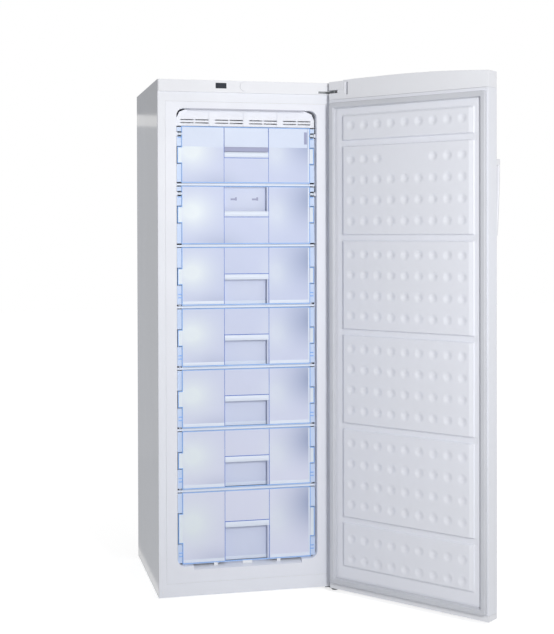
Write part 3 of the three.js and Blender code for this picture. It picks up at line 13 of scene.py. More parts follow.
import bmesh
import bpy
import numpy as np
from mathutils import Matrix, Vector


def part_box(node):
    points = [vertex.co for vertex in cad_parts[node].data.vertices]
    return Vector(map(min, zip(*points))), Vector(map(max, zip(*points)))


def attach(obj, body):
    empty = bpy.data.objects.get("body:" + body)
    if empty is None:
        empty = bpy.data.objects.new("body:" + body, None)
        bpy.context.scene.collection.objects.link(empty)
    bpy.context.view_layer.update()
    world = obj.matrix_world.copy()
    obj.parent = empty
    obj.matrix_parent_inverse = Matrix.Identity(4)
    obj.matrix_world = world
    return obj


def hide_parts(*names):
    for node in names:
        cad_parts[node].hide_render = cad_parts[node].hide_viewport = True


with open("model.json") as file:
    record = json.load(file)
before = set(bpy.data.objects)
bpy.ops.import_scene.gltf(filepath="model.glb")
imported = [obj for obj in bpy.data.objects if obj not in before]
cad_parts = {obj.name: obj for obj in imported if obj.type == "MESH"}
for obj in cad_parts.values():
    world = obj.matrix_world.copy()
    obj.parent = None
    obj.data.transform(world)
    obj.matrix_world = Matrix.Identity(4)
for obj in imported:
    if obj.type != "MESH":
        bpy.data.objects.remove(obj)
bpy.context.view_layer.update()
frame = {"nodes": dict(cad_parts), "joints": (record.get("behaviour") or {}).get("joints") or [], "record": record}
MM = 0.001
shell_low, shell_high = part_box("outer_shell")
ORIGIN = np.array([(shell_low.x + shell_high.x) / 2, shell_low.y, shell_low.z])
hinge = next(joint for joint in frame["joints"] if joint["name"] == "door_hinge")
OPEN = math.radians(-hinge["range_deg"][0])
print("door stands open by", -hinge["range_deg"][0], "degrees")


def cabinet(points):
    """Millimetres from the middle of the cabinet's front (x right, y back, z up) into the model:
    model = origin + 0.001 * point."""
    return ORIGIN + MM * np.asarray(points, float)


def door(points):
    """Millimetres from the hinge axis in the door's own frame (inner face towards +y) into the
    model: the point is turned about the axis by the opening angle, then moved to the axis."""
    p = MM * np.asarray(points, float)
    c, s = math.cos(OPEN), math.sin(OPEN)
    x = hinge["pos_m"][0] + c * p[..., 0] - s * p[..., 1]
    y = hinge["pos_m"][1] + s * p[..., 0] + c * p[..., 1]
    return np.stack([x, y, shell_low.z + p[..., 2]], -1)


# %% [markdown]
# ## Camera
# A lens is a cone with its tip at the camera. The photograph's verticals stay nearly parallel, so
# the camera looks level and the picture is shifted instead, as an architect's camera does it.

# %% Camera
EYE = (-1.0460531, -3.9848126, 1.1984)  # the lens, in metres, with the floor at 0
TURN = (13.373, -0.547, -0.132)  # yaw to the right, pitch and roll, in degrees
lens = bpy.data.cameras.new("camera")
camera = bpy.data.objects.new("camera", lens)
bpy.context.scene.collection.objects.link(camera)
yaw, pitch, roll = np.radians(TURN)
ahead = np.array([np.sin(yaw) * np.cos(pitch), np.cos(yaw) * np.cos(pitch), np.sin(pitch)])
right = np.array([np.cos(yaw), -np.sin(yaw), 0])
above = np.cross(right, ahead)
right, above = (
    right * np.cos(roll) + above * np.sin(roll),
    above * np.cos(roll) - right * np.sin(roll),
)
place = np.eye(4)
place[:3, 0], place[:3, 1], place[:3, 2] = right, above, -ahead
place[:3, 3] = EYE
camera.matrix_world = place.T.tolist()
lens.sensor_fit = "VERTICAL"
lens.sensor_height, lens.lens, lens.shift_y = 36.0, 69.996, -0.1145
lens.clip_start, lens.clip_end = 0.05, 60.0
bpy.context.scene.camera = camera
print("camera height", round(place[2, 3], 3), "m, lens", lens.lens, "mm")

# %% [markdown]
# ## Materials
# White goods are never one flat white. Moulded polystyrene has a faint leather grain, powder coat
# has the soft ripple called orange peel, clear mouldings are hazed from the tool, and every big
# sheet drifts a little in tone. Each effect is a small node group with named inputs, built once
# and placed in each material with its own values; the shader itself stays in the material.


# %% Node helpers
def group(name, inputs, outputs, build):
    """A shader node group: `inputs` and `outputs` are (name, socket kind, default) rows, and
    `build(nodes, link, sources)` returns the sockets that feed the outputs."""
    tree = bpy.data.node_groups.new(name, "ShaderNodeTree")
    for direction, rows in (("INPUT", inputs), ("OUTPUT", outputs)):
        for label, kind, default in rows:
            socket = tree.interface.new_socket(label, in_out=direction, socket_type=kind)
            if default is not None:
                socket.default_value = default
    entry, leave = tree.nodes.new("NodeGroupInput"), tree.nodes.new("NodeGroupOutput")
    results = build(tree.nodes, tree.links.new, entry.outputs)
    for result, socket in zip(results, leave.inputs):
        tree.links.new(result, socket)
    return tree


def texture(nodes, link, kind, where, scale, **settings):
    """A noise or cell texture read at a position, with its scale plugged in or plain."""
    node = nodes.new("ShaderNodeTex" + kind)
    link(where, node.inputs["Vector"])
    if isinstance(scale, (int, float)):
        node.inputs["Scale"].default_value = scale
    else:
        link(scale, node.inputs["Scale"])
    for label, value in settings.items():
        if hasattr(node, label):
            setattr(node, label, value)
        else:
            node.inputs[label.replace("_", " ").title()].default_value = value
    return node


def spread(nodes, link, value, low, high, to_low, to_high):
    """Stretches a 0..1 value: the span low..high becomes to_low..to_high."""
    node = nodes.new("ShaderNodeMapRange")
    for socket, entry in zip(node.inputs, (value, low, high, to_low, to_high)):
        if isinstance(entry, (int, float)):
            socket.default_value = entry
        else:
            link(entry, socket)
    return node.outputs["Result"]


def mixed(nodes, link, share, first, second):
    """One colour fading into another by a share."""
    node = nodes.new("ShaderNodeMix")
    node.data_type = "RGBA"
    link(share, node.inputs["Factor"])
    for socket, entry in ((node.inputs["A"], first), (node.inputs["B"], second)):
        if isinstance(entry, tuple):
            socket.default_value = entry
        else:
            link(entry, socket)
    return node.outputs["Result"]


def larger(nodes, link, first, second):
    """The larger of two values."""
    node = nodes.new("ShaderNodeMath")
    node.operation = "MAXIMUM"
    link(first, node.inputs[0])
    link(second, node.inputs[1])
    return node.outputs["Value"]


# %% The shared effects
def build_tone(nodes, link, sources):
    """A cloud fades the light colour into the deep one, and smaller smudges do the same with the
    roughness. Noise keeps to its middle, so 0.3..0.7 of it is stretched over the whole range."""
    where = nodes.new("ShaderNodeTexCoord").outputs["Object"]
    cloud = texture(nodes, link, "Noise", where, sources["Size"], Detail=3.0).outputs["Fac"]
    colour = mixed(
        nodes, link, spread(nodes, link, cloud, 0.3, 0.7, 0.0, 1.0),
        sources["Light"], sources["Deep"],
    )
    smudge = texture(nodes, link, "Noise", where, 9.0, Detail=4.0).outputs["Fac"]
    rough = spread(nodes, link, smudge, 0.3, 0.7, sources["Smooth"], sources["Rough"])
    return colour, rough


TONE = group(
    "large_tone",
    [("Light", "NodeSocketColor", None), ("Deep", "NodeSocketColor", None),
     ("Size", "NodeSocketFloat", 2.0), ("Smooth", "NodeSocketFloat", 0.3),
     ("Rough", "NodeSocketFloat", 0.4)],
    [("Colour", "NodeSocketColor", None), ("Roughness", "NodeSocketFloat", None)],
    build_tone,
)


def build_grain(nodes, link, sources):
    """Height = (1 - share) * distance to the nearest pore + share * ripple."""
    where = nodes.new("ShaderNodeTexCoord").outputs["Object"]
    pores = texture(nodes, link, "Voronoi", where, sources["Cells"]).outputs["Distance"]
    ripple = texture(nodes, link, "Noise", where, sources["Ripple"], Detail=2.0).outputs["Fac"]
    blend = nodes.new("ShaderNodeMix")
    link(sources["Share"], blend.inputs["Factor"])
    link(pores, blend.inputs["A"])
    link(ripple, blend.inputs["B"])
    return (blend.outputs["Result"],)


GRAIN = group(
    "moulded_grain",
    [("Cells", "NodeSocketFloat", 700.0), ("Ripple", "NodeSocketFloat", 200.0),
     ("Share", "NodeSocketFloat", 0.5)],
    [("Height", "NodeSocketFloat", None)],
    build_grain,
)


def build_spangle(nodes, link, sources):
    """Zinc crystals: each cell has one grey, and takes both its colour and its roughness by it."""
    where = nodes.new("ShaderNodeTexCoord").outputs["Object"]
    spangle = texture(nodes, link, "Voronoi", where, sources["Spangle"]).outputs["Color"]
    grey = nodes.new("ShaderNodeRGBToBW")
    link(spangle, grey.inputs["Color"])
    colour = mixed(nodes, link, grey.outputs["Val"], sources["Light"], sources["Deep"])
    rough = spread(nodes, link, grey.outputs["Val"], 0.0, 1.0, 0.28, 0.46)
    return colour, rough


SPANGLE = group(
    "zinc_spangle",
    [("Light", "NodeSocketColor", None), ("Deep", "NodeSocketColor", None),
     ("Spangle", "NodeSocketFloat", 160.0)],
    [("Colour", "NodeSocketColor", None), ("Roughness", "NodeSocketFloat", None)],
    build_spangle,
)


# Painted glow and shade spots on a front, from 0 to 1 across and up: centre, reach, strength and tint.
GLOW_SPOTS = (
    ((0.10, 0.56), (0.30, 0.62), 1.0, "Light"), ((0.72, 0.56), (0.20, 0.60), 0.45, "Light"),
    ((1.04, 0.78), (0.42, 0.75), 1.0, "Deep"), ((0.30, 0.0), (0.34, 0.34), 0.35, "Deep"),
)
TAB_SPANS = ((0.029, 0.030, 0.85, 0.0), (0.970, 0.971, 0.0, 0.85))  # the two side tabs


def build_painted_glow(nodes, link, sources):
    """Each spot paints in its tint by (1 - r)^2, r being the distance from its centre in reaches: the
    light tint is painted glow, the deep tint painted shade. The side tabs, where the light comes out
    again, take the light tint as painted glow."""
    where = nodes.new("ShaderNodeUVMap")
    where.uv_map = "front"
    colour = sources["Middle"]
    for centre, reach, share, other in GLOW_SPOTS:
        spot = nodes.new("ShaderNodeMapping")
        spot.inputs["Scale"].default_value = (1 / reach[0], 1 / reach[1], 0)
        spot.inputs["Location"].default_value = (-centre[0] / reach[0], -centre[1] / reach[1], 0)
        link(where.outputs["UV"], spot.inputs["Vector"])
        ball = nodes.new("ShaderNodeTexGradient")
        ball.gradient_type = "QUADRATIC_SPHERE"
        link(spot.outputs["Vector"], ball.inputs["Vector"])
        amount = spread(nodes, link, ball.outputs["Fac"], 0.0, 0.7, 0.0, share)
        colour = mixed(nodes, link, amount, colour, sources[other])
    apart = nodes.new("ShaderNodeSeparateXYZ")
    link(where.outputs["UV"], apart.inputs[0])
    for span in TAB_SPANS:
        tab = spread(nodes, link, apart.outputs["X"], *span)
        colour = mixed(nodes, link, tab, colour, sources["Light"])
    return (colour,)


PAINTED_GLOW = group(
    "haze_of_a_front",
    [("Light", "NodeSocketColor", None), ("Middle", "NodeSocketColor", None),
     ("Deep", "NodeSocketColor", None)],
    [("Colour", "NodeSocketColor", None)],
    build_painted_glow,
)


# %% Finishes made from them
def finish(
    name, light, deep, rough=(0.3, 0.4), size=2.0, grain=None, metallic=0.0,
    transmission=0.0, specular=0.5, spangle=None,
):
    """A Principled surface: tone and roughness drift between two values, and `grain` gives
    (cells per metre, ripples per metre, share of ripple, depth in metres) of its relief."""
    made = bpy.data.materials.new(name)
    made.use_nodes = True
    nodes, link = made.node_tree.nodes, made.node_tree.links.new
    shader = nodes["Principled BSDF"]
    plain = {
        "Metallic": metallic, "Transmission Weight": transmission, "IOR": 1.5,
        "Specular IOR Level": specular,
    }
    for label, value in plain.items():
        shader.inputs[label].default_value = value
    tone = nodes.new("ShaderNodeGroup")
    tone.node_tree = SPANGLE if spangle else TONE
    tone.inputs["Light"].default_value = (*light, 1.0)
    tone.inputs["Deep"].default_value = (*deep, 1.0)
    if spangle:
        tone.inputs["Spangle"].default_value = spangle
    else:
        tone.inputs["Size"].default_value = size
        tone.inputs["Smooth"].default_value, tone.inputs["Rough"].default_value = rough
    link(tone.outputs["Colour"], shader.inputs["Base Color"])
    link(tone.outputs["Roughness"], shader.inputs["Roughness"])
    if grain:
        relief = nodes.new("ShaderNodeGroup")
        relief.node_tree = GRAIN
        for socket, value in zip(relief.inputs, grain[:3]):
            socket.default_value = value
        bump = nodes.new("ShaderNodeBump")
        bump.inputs["Distance"].default_value = grain[3]
        link(relief.outputs["Height"], bump.inputs["Height"])
        link(bump.outputs["Normal"], shader.inputs["Normal"])
    return made


POWDER = (900.0, 420.0, 0.8, 0.00006)
MOULDED = (1500.0, 500.0, 0.6, 0.00005)
FINISHES = {
    "painted_steel": finish(
        "painted_steel", (0.83, 0.852, 0.92), (0.815, 0.83, 0.88), (0.38, 0.46), 1.3, POWDER,
        specular=0.4,
    ),
    "white_liner": finish(
        "white_liner", (0.825, 0.843, 0.912), (0.805, 0.82, 0.877), (0.38, 0.48), 1.6, MOULDED,
    ),
    "white_plastic": finish(
        "white_plastic", (0.86, 0.87, 0.91), (0.84, 0.85, 0.89), (0.42, 0.5), 4.0, MOULDED,
        specular=0.35,
    ),
    "clear_front": finish(
        "clear_front", (0.58, 0.645, 0.85), (0.53, 0.595, 0.82), (0.38, 0.42), 3.0,
        transmission=0.12, specular=0.35,
    ),
    "clear_shelf": finish(
        "clear_shelf", (0.80, 0.87, 0.97), (0.74, 0.83, 0.96), (0.12, 0.2), 3.0, transmission=0.3,
    ),
    "frosted_tub": finish(
        "frosted_tub", (0.84, 0.87, 0.96), (0.80, 0.83, 0.94), (0.4, 0.5), 3.0,
        (700.0, 120.0, 0.7, 0.0002), transmission=0.15,
    ),
    "gasket_rubber": finish(
        "gasket_rubber", (0.63, 0.645, 0.69), (0.59, 0.605, 0.65), (0.42, 0.54), 6.0,
        (2200.0, 300.0, 0.5, 0.00006),
    ),
    "zinc_steel": finish(
        "zinc_steel", (0.62, 0.64, 0.66), (0.45, 0.47, 0.49), metallic=0.9, spangle=170.0,
    ),
    "black_plastic": finish(
        "black_plastic", (0.05, 0.052, 0.058), (0.03, 0.031, 0.036), (0.42, 0.55), 8.0,
        (1100.0, 300.0, 0.4, 0.0002),
    ),
    "black_steel": finish(
        "black_steel", (0.032, 0.032, 0.036), (0.02, 0.02, 0.023), (0.22, 0.34), 5.0, POWDER,
    ),
    "dark_window": finish(
        "dark_window", (0.028, 0.034, 0.05), (0.016, 0.02, 0.03), (0.3, 0.36), 20.0, specular=0.06,
    ),
    "foam": finish(
        "foam", (0.85, 0.78, 0.52), (0.78, 0.69, 0.42), (0.85, 0.95), 7.0,
        (420.0, 60.0, 0.3, 0.0012),
    ),
    "fins": finish("fins", (0.78, 0.80, 0.82), (0.62, 0.64, 0.66), metallic=0.9, spangle=60.0),
    "copper_pipe": finish(
        "copper_pipe", (0.78, 0.42, 0.26), (0.60, 0.30, 0.17), metallic=0.95, spangle=90.0,
    ),
    "circuit_board": finish(
        "circuit_board", (0.03, 0.20, 0.09), (0.02, 0.14, 0.06), (0.3, 0.45), 30.0,
        (260.0, 900.0, 0.3, 0.0004),
    ),
}

# %% [markdown]
# Light that enters a clear front leaves it again at the left and along the foot, while its upper
# right stays dark. We don't trace that light in the plastic: the glow group paints that light and
# shade into the colour, in place of the plain tone, and paints the middle paler from the upper
# fronts to the lower ones, as painted light where the lamp's light falls off towards the foot.

# %% Painted glow of the clear fronts
PAINTED_LIGHT_TINT, PAINTED_SHADE_TINT = (0.88, 0.95, 1.0, 1.0), (0.35, 0.42, 0.62, 1.0)
PAINTED_MIDDLE_UPPER, PAINTED_MIDDLE_LOWER = (0.64, 0.70, 0.91, 1.0), (0.79, 0.82, 0.98, 1.0)
PALE_BELOW, DULL_ABOVE = 0.35, 1.05  # heights in metres
front_tree = FINISHES["clear_front"].node_tree
nodes, link = front_tree.nodes, front_tree.links.new
glow_painter = nodes.new("ShaderNodeGroup")
glow_painter.node_tree = PAINTED_GLOW
glow_painter.inputs["Light"].default_value = PAINTED_LIGHT_TINT
glow_painter.inputs["Deep"].default_value = PAINTED_SHADE_TINT
height_of = nodes.new("ShaderNodeSeparateXYZ")
link(nodes.new("ShaderNodeTexCoord").outputs["Object"], height_of.inputs[0])
# Painted light: the middle is paler on the lower fronts, where the lamp's light falls off.
lowness = spread(nodes, link, height_of.outputs["Z"], PALE_BELOW, DULL_ABOVE, 1.0, 0.0)
link(mixed(nodes, link, lowness, PAINTED_MIDDLE_UPPER, PAINTED_MIDDLE_LOWER), glow_painter.inputs["Middle"])
link(glow_painter.outputs["Colour"], nodes["Principled BSDF"].inputs["Base Color"])
# The spots are painted glow and painted shade.
print("clear fronts hazed by", len(GLOW_SPOTS), "spots")

# %% Finishes of the trims
# Painted light and shade among these: shaded_white is painted shade, dim_shape paints the shade below the first
# flap's pale band, bright_bar also paints light on the pocket's walls, and pale_lip also paints light on the
# pocket's lips and the tone of the shaded gaps beside the fronts.
(PALE_EDGE, BLUE_EDGE, BRIGHT_BAR, PALE_SKIRT, PALE_LIP, BRIGHT_FOOT, SHADED_WHITE, PALE_BAND,
 DIM_SHAPE) = [
    finish(name, light, deep, rough, size, specular=0.3)
    for name, light, deep, rough, size in (
        ("pale_edge", (0.30, 0.52, 0.93), (0.24, 0.46, 0.88), (0.24, 0.32), 5.0),
        ("blue_edge", (0.13, 0.24, 0.66), (0.10, 0.20, 0.60), (0.24, 0.32), 5.0),
        ("bright_bar", (0.78, 0.84, 0.95), (0.75, 0.815, 0.935), (0.34, 0.42), 5.0),
        ("pale_skirt", (0.62, 0.73, 0.93), (0.56, 0.68, 0.90), (0.34, 0.42), 5.0),
        ("pale_lip", (0.66, 0.71, 0.87), (0.62, 0.67, 0.84), (0.38, 0.45), 5.0),
        ("bright_foot", (0.88, 0.90, 0.94), (0.86, 0.88, 0.93), (0.4, 0.45), 3.0),
        ("shaded_white", (0.55, 0.56, 0.64), (0.53, 0.54, 0.62), (0.45, 0.5), 3.0),
        ("pale_band", (0.71, 0.78, 0.93), (0.68, 0.75, 0.91), (0.38, 0.45), 5.0),
        ("dim_shape", (0.36, 0.38, 0.56), (0.33, 0.35, 0.52), (0.38, 0.45), 5.0),
    )
]
HINGE_STEEL = finish(
    "hinge_steel", (0.17, 0.18, 0.19), (0.11, 0.115, 0.12), (0.40, 0.50), 40.0, metallic=0.6,
)
GLOSSY_SIDE = finish(
    "glossy_side", (0.83, 0.852, 0.92), (0.815, 0.83, 0.88), (0.10, 0.14), 1.3, specular=0.4,
)
print(len(bpy.data.materials), "finishes")

# %% [markdown]
# Which finish each solid wears. A node that keeps its CAD shape only has its material slot set.

# %% Finish of each node
WEARS = {
    "painted_steel": "outer_shell rear_panel door_skin",
    "white_liner": "inner_liner air_grille evaporator_tray air_duct door_liner",
    "white_plastic": "top_cover control_panel mode_button fan_shroud fan_impeller hinge_hole_plug "
    "door_top_cap door_cap_insert door_bottom_cap door_handle",
    "clear_front": "flap_1 flap_2 " + " ".join(f"drawer_{i}_front" for i in range(1, 6)),
    "clear_shelf": " ".join(f"shelf_{i}" for i in range(1, 7)),
    "frosted_tub": " ".join(f"drawer_{i}_tub" for i in range(1, 6)),
    "gasket_rubber": "door_gasket",
    "zinc_steel": "floor_pan defrost_heater base_rail top_hinge_bracket bottom_hinge_bracket",
    "black_plastic": "control_box fan_motor drain_tube terminal_box drip_tray cord_gland "
    "levelling_foot_left levelling_foot_right rear_roller_left rear_roller_right",
    "black_steel": "compressor condenser",
    "dark_window": "display_window",
    "foam": "insulation_foam door_foam",
    "fins": "evaporator_coil",
    "copper_pipe": "filter_drier",
    "circuit_board": "control_board",
}
SLOT_OF = {node: slot for slot, nodes in WEARS.items() for node in nodes.split()}
assert set(SLOT_OF) == set(frame["nodes"]), set(SLOT_OF) ^ set(frame["nodes"])
BODY_OF = {
    node: body for body, nodes in frame["record"]["behaviour"]["bodies"].items() for node in nodes
}
for node, slot in SLOT_OF.items():
    frame["nodes"][node].data.materials.clear()
    frame["nodes"][node].data.materials.append(FINISHES[slot])
print(len(SLOT_OF), "nodes dressed in", len(WEARS), "finishes")

# %% [markdown]
# ## Making pieces
# A piece is one mesh built from arrays of corners. `grid_faces` joins a grid of points, `sweep`
# carries a section along a path, and `rounded_copy` takes a solid from the model, joins its
# loose triangles and rounds its edges, which is what light needs to find an edge at all.


# %% Mesh helpers
def grid_faces(rows, columns, wrap_rows=False, wrap_columns=False):
    """Four-cornered faces between neighbours of a grid kept row after row."""
    r = np.arange(rows if wrap_rows else rows - 1)[:, None]
    c = np.arange(columns if wrap_columns else columns - 1)[None, :]
    far_r, far_c = (r + 1) % rows, (c + 1) % columns
    corners = [r * columns + c, r * columns + far_c, far_r * columns + far_c, far_r * columns + c]
    return np.stack([k + 0 * r + 0 * c for k in corners], -1).reshape(-1, 4).tolist()


def sweep(path, section, up, closed=True):
    """A section of (across, along up) pairs carried along a flat path: each corner is
    path + across * side + lift * up, and the side is stretched by one over the cosine of half
    the turn, so that a mitre keeps its width. Open ends are capped."""
    path, section, up = (np.asarray(a, float) for a in (path, section, up))
    back = path - np.roll(path, 1, 0)
    on = np.roll(path, -1, 0) - path
    if not closed:
        back[0], on[-1] = on[0], back[-1]
    sides = [np.cross(d / np.linalg.norm(d, axis=1, keepdims=True), up) for d in (back, on)]
    side = sides[0] + sides[1]
    side /= np.linalg.norm(side, axis=1, keepdims=True)
    side /= np.clip((side * sides[0]).sum(1, keepdims=True), 0.3, 1)
    points = (
        path[:, None] + section[None, :, :1] * side[:, None] + section[None, :, 1:] * up[None, None]
    )
    n, m = len(path), len(section)
    faces = grid_faces(n, m, wrap_rows=closed, wrap_columns=True)
    if not closed:
        faces += [list(range(m)), list(range(n * m - 1, (n - 1) * m - 1, -1))]
    return points.reshape(-1, 3), faces


def rounded_loop(x0, x1, z0, z1, radius, steps=6):
    """A rectangle with quarter-circle corners, as points running anticlockwise."""
    quarter = np.radians(np.linspace(0, 90, steps + 1))
    loop = []
    for k, (cx, cz) in enumerate(
        [(x1 - radius, z1 - radius), (x0 + radius, z1 - radius),
         (x0 + radius, z0 + radius), (x1 - radius, z0 + radius)]
    ):
        angle = quarter + k * np.pi / 2
        loop.append(np.stack([cx + radius * np.cos(angle), cz + radius * np.sin(angle)], -1))
    return np.concatenate(loop)


def block(x0, x1, y0, y1, z0, z1):
    """A plain block as corners and faces, for joining into a larger piece."""
    c = np.array([(x, y, z) for z in (z0, z1) for y in (y0, y1) for x in (x0, x1)], float)
    return c, [[0, 2, 3, 1], [4, 5, 7, 6], [0, 1, 5, 4], [2, 6, 7, 3], [0, 4, 6, 2], [1, 3, 7, 5]]


def assemble(name, parts, node, place=cabinet, sharp=35, hides=True):
    """One object from several (corners in millimetres, faces, material) parts, its faces turned
    outwards. It rides with a solid of the model and, unless it only trims that solid, hides it."""
    corners, faces, wears, materials, start = [], [], [], [], 0
    for points, cells, material in parts:
        if material not in materials:
            materials.append(material)
        corners.append(place(points))
        faces += [[i + start for i in cell] for cell in cells]
        wears += [materials.index(material)] * len(cells)
        start += len(points)
    mesh = bpy.data.meshes.new(name)
    mesh.from_pydata(np.concatenate(corners).tolist(), [], faces)
    mesh.polygons.foreach_set("material_index", wears)
    for material in materials:
        mesh.materials.append(material)
    work = bmesh.new()
    work.from_mesh(mesh)
    bmesh.ops.remove_doubles(work, verts=work.verts, dist=1e-6)
    bmesh.ops.recalc_face_normals(work, faces=work.faces)
    work.to_mesh(mesh)
    work.free()
    mesh.shade_smooth()
    mesh.set_sharp_from_angle(angle=math.radians(sharp))
    return take_over(bpy.data.objects.new(name, mesh), node, hides)


def take_over(made, node, hides=True):
    """Puts a new piece in the scene, on a node of the model or in its place."""
    bpy.context.scene.collection.objects.link(made)
    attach(made, BODY_OF[node])
    if hides:
        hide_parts(node)
    return made


def rounded_copy(
    node, light=0.5, heavy=None, heavy_at=None, segments=2, accents=(), wears=None, spans=None,
):
    """A node's solid with its triangles merged and its edges rounded by `light` millimetres, or
    by `heavy` where `heavy_at(x, y, z)` of an edge's middle, in cabinet millimetres, says so.
    Each of `accents` is a finish and a test of a face's middle and normal. `spans` gives the
    (x0, x1, z0, z1) that a map called "front" stretches over, from 0 to 1 each way."""
    mesh = frame["nodes"][node].data.copy()
    mesh.name = node + "_dressed"
    if wears:
        mesh.materials[0] = wears
    work = bmesh.new()
    work.from_mesh(mesh)
    bmesh.ops.remove_doubles(work, verts=work.verts, dist=4e-6)
    bmesh.ops.dissolve_limit(
        work, angle_limit=math.radians(0.6), verts=work.verts, edges=work.edges,
    )
    weight = work.edges.layers.float.new("bevel_weight_edge")
    most = heavy or light
    for edge in work.edges:
        if len(edge.link_faces) == 2 and edge.calc_face_angle(0) > math.radians(28):
            middle = (np.array((edge.verts[0].co + edge.verts[1].co) / 2) - ORIGIN) / MM
            size = heavy if heavy and heavy_at(*middle) else light
            edge[weight] = size / most
    for number, (accent, test) in enumerate(accents, 1):
        mesh.materials.append(accent)
        for face in work.faces:
            middle = (np.array(face.calc_center_median()) - ORIGIN) / MM
            if test(middle, face.normal):
                face.material_index = number
    for face in work.faces:
        face.smooth = True
    if spans:
        x0, x1, z0, z1 = spans
        layer = work.loops.layers.uv.new("front")
        for face in work.faces:
            for corner in face.loops:
                x, _, z = (np.array(corner.vert.co) - ORIGIN) / MM
                corner[layer].uv = ((x - x0) / (x1 - x0), (z - z0) / (z1 - z0))
    work.to_mesh(mesh)
    work.free()
    made = bpy.data.objects.new(node + "_dressed", mesh)
    rounding = made.modifiers.new("rounding", "BEVEL")
    rounding.limit_method, rounding.width, rounding.segments = "WEIGHT", most * MM, segments
    rounding.use_clamp_overlap = True
    flat = made.modifiers.new("flat_faces", "WEIGHTED_NORMAL")
    flat.weight = 90
    return take_over(made, node)


# %% [markdown]
# ## Rounded edges
# No edge of a moulding or a folded sheet is truly sharp, and the thin bright line along a rounded
# edge is what tells the eye so. Most edges take 0.4 mm; the cabinet's front corners and the mouth
# of the cavity take more.

# %% First dress of the rigid mouldings
SIDE_AT, FACE_AT = 297.0, 1.0  # the side lies beyond the first, the face before the second
MOUTH_HALF, MOUTH_LOW, MOUTH_HIGH = 236.0, 80.0, 1590.0
for node in (
    "top_cover control_panel air_grille evaporator_tray fan_shroud air_duct door_cap_insert "
    "door_bottom_cap terminal_box drip_tray "
    "levelling_foot_left levelling_foot_right mode_button hinge_hole_plug".split()
):
    rounded_copy(node, 0.4)
for node in ("top_hinge_bracket", "bottom_hinge_bracket"):
    rounded_copy(node, 0.4, wears=HINGE_STEEL)
rounded_copy(
    "outer_shell", 0.3, 2.5, lambda x, y, z: abs(x) > SIDE_AT and y < FACE_AT,
    accents=[(GLOSSY_SIDE, lambda at, normal: abs(at[0]) > SIDE_AT and abs(normal.x) > 0.9)],
)
rounded_copy(
    "inner_liner", 0.4, 3.0,
    lambda x, y, z: y < FACE_AT and abs(x) < MOUTH_HALF and MOUTH_LOW < z < MOUTH_HIGH,
)

# %% [markdown]
# ## Door liner
# The liner is one sheet of polystyrene drawn over a tool: a low rim inside the gasket, six raised
# pads parted by sunk beads, and rows of shallow dimples pressed into the pads. All of that is a
# height over a flat sheet, so the whole face is one function of two numbers: the distance from
# the hinge end, and the height above the cabinet's lower edge.

# %% Sizes of the door
INNER = 14.0  # inner face, from the hinge axis
DOOR_WIDTH, HINGE_END = 594.0, 9.5
LINER_LOW, LINER_HIGH = 21.6, 1621.4
LINER_NEAR, LINER_FAR = 8.6, 585.4  # its two upright edges, from the hinge end
RIM_HEIGHT, PAD_HEIGHT, BEAD_LEVEL, DIMPLE_DEPTH = 2.0, 10.0, 1.0, 3.6
RIM_IN, RIM_LOW, RIM_HIGH = 26.0, 45.0, 1590.0
PAD_NEAR, PAD_FAR, PAD_STEP, PAD_LOW, PAD_HIGH = 55.0, 545.0, 547.5, 84.0, 1570.0
BEAD_HALF, BEAD_NEAR, BEAD_FAR = 12.5, 41.0, 560.0
BEAD_PITCH, DIMPLE_PITCH, DIMPLE_RADIUS, DIMPLE_REACH = 308.4, 66.8, 16.5, 20.0
BEADS = 241 + BEAD_PITCH * np.arange(5)
ROWS = np.concatenate(
    [[BEADS[0] - 58.7, BEADS[0] - 125.5, BEADS[-1] + 57]]
    + [BEADS[:-1] + BEAD_PITCH / 2 + step * DIMPLE_PITCH for step in (-1.5, -0.5, 0.5, 1.5)]
)
COLUMNS = 94 + 51.9 * np.arange(9)
BARE_ROW, BARE_COLUMN = BEADS[-1] - BEAD_PITCH / 2 + 1.5 * DIMPLE_PITCH, 4  # a smooth patch


def ease(t):
    """A soft step: 0 below 0, 1 above 1, and 3t^2 - 2t^3 between."""
    t = np.clip(t, 0, 1)
    return t * t * (3 - 2 * t)


def slope(t, round_share=0.18):
    """A straight slope whose foot and crest are rounded: 0 below 0, 1 above 1."""
    r = round_share
    t = np.clip(t, 0, 1)
    low = t * t / (2 * r)
    high = 1 - r - (1 - t) ** 2 / (2 * r)
    return np.where(t < r, low, np.where(t > 1 - r, high, t - r / 2)) / (1 - r)


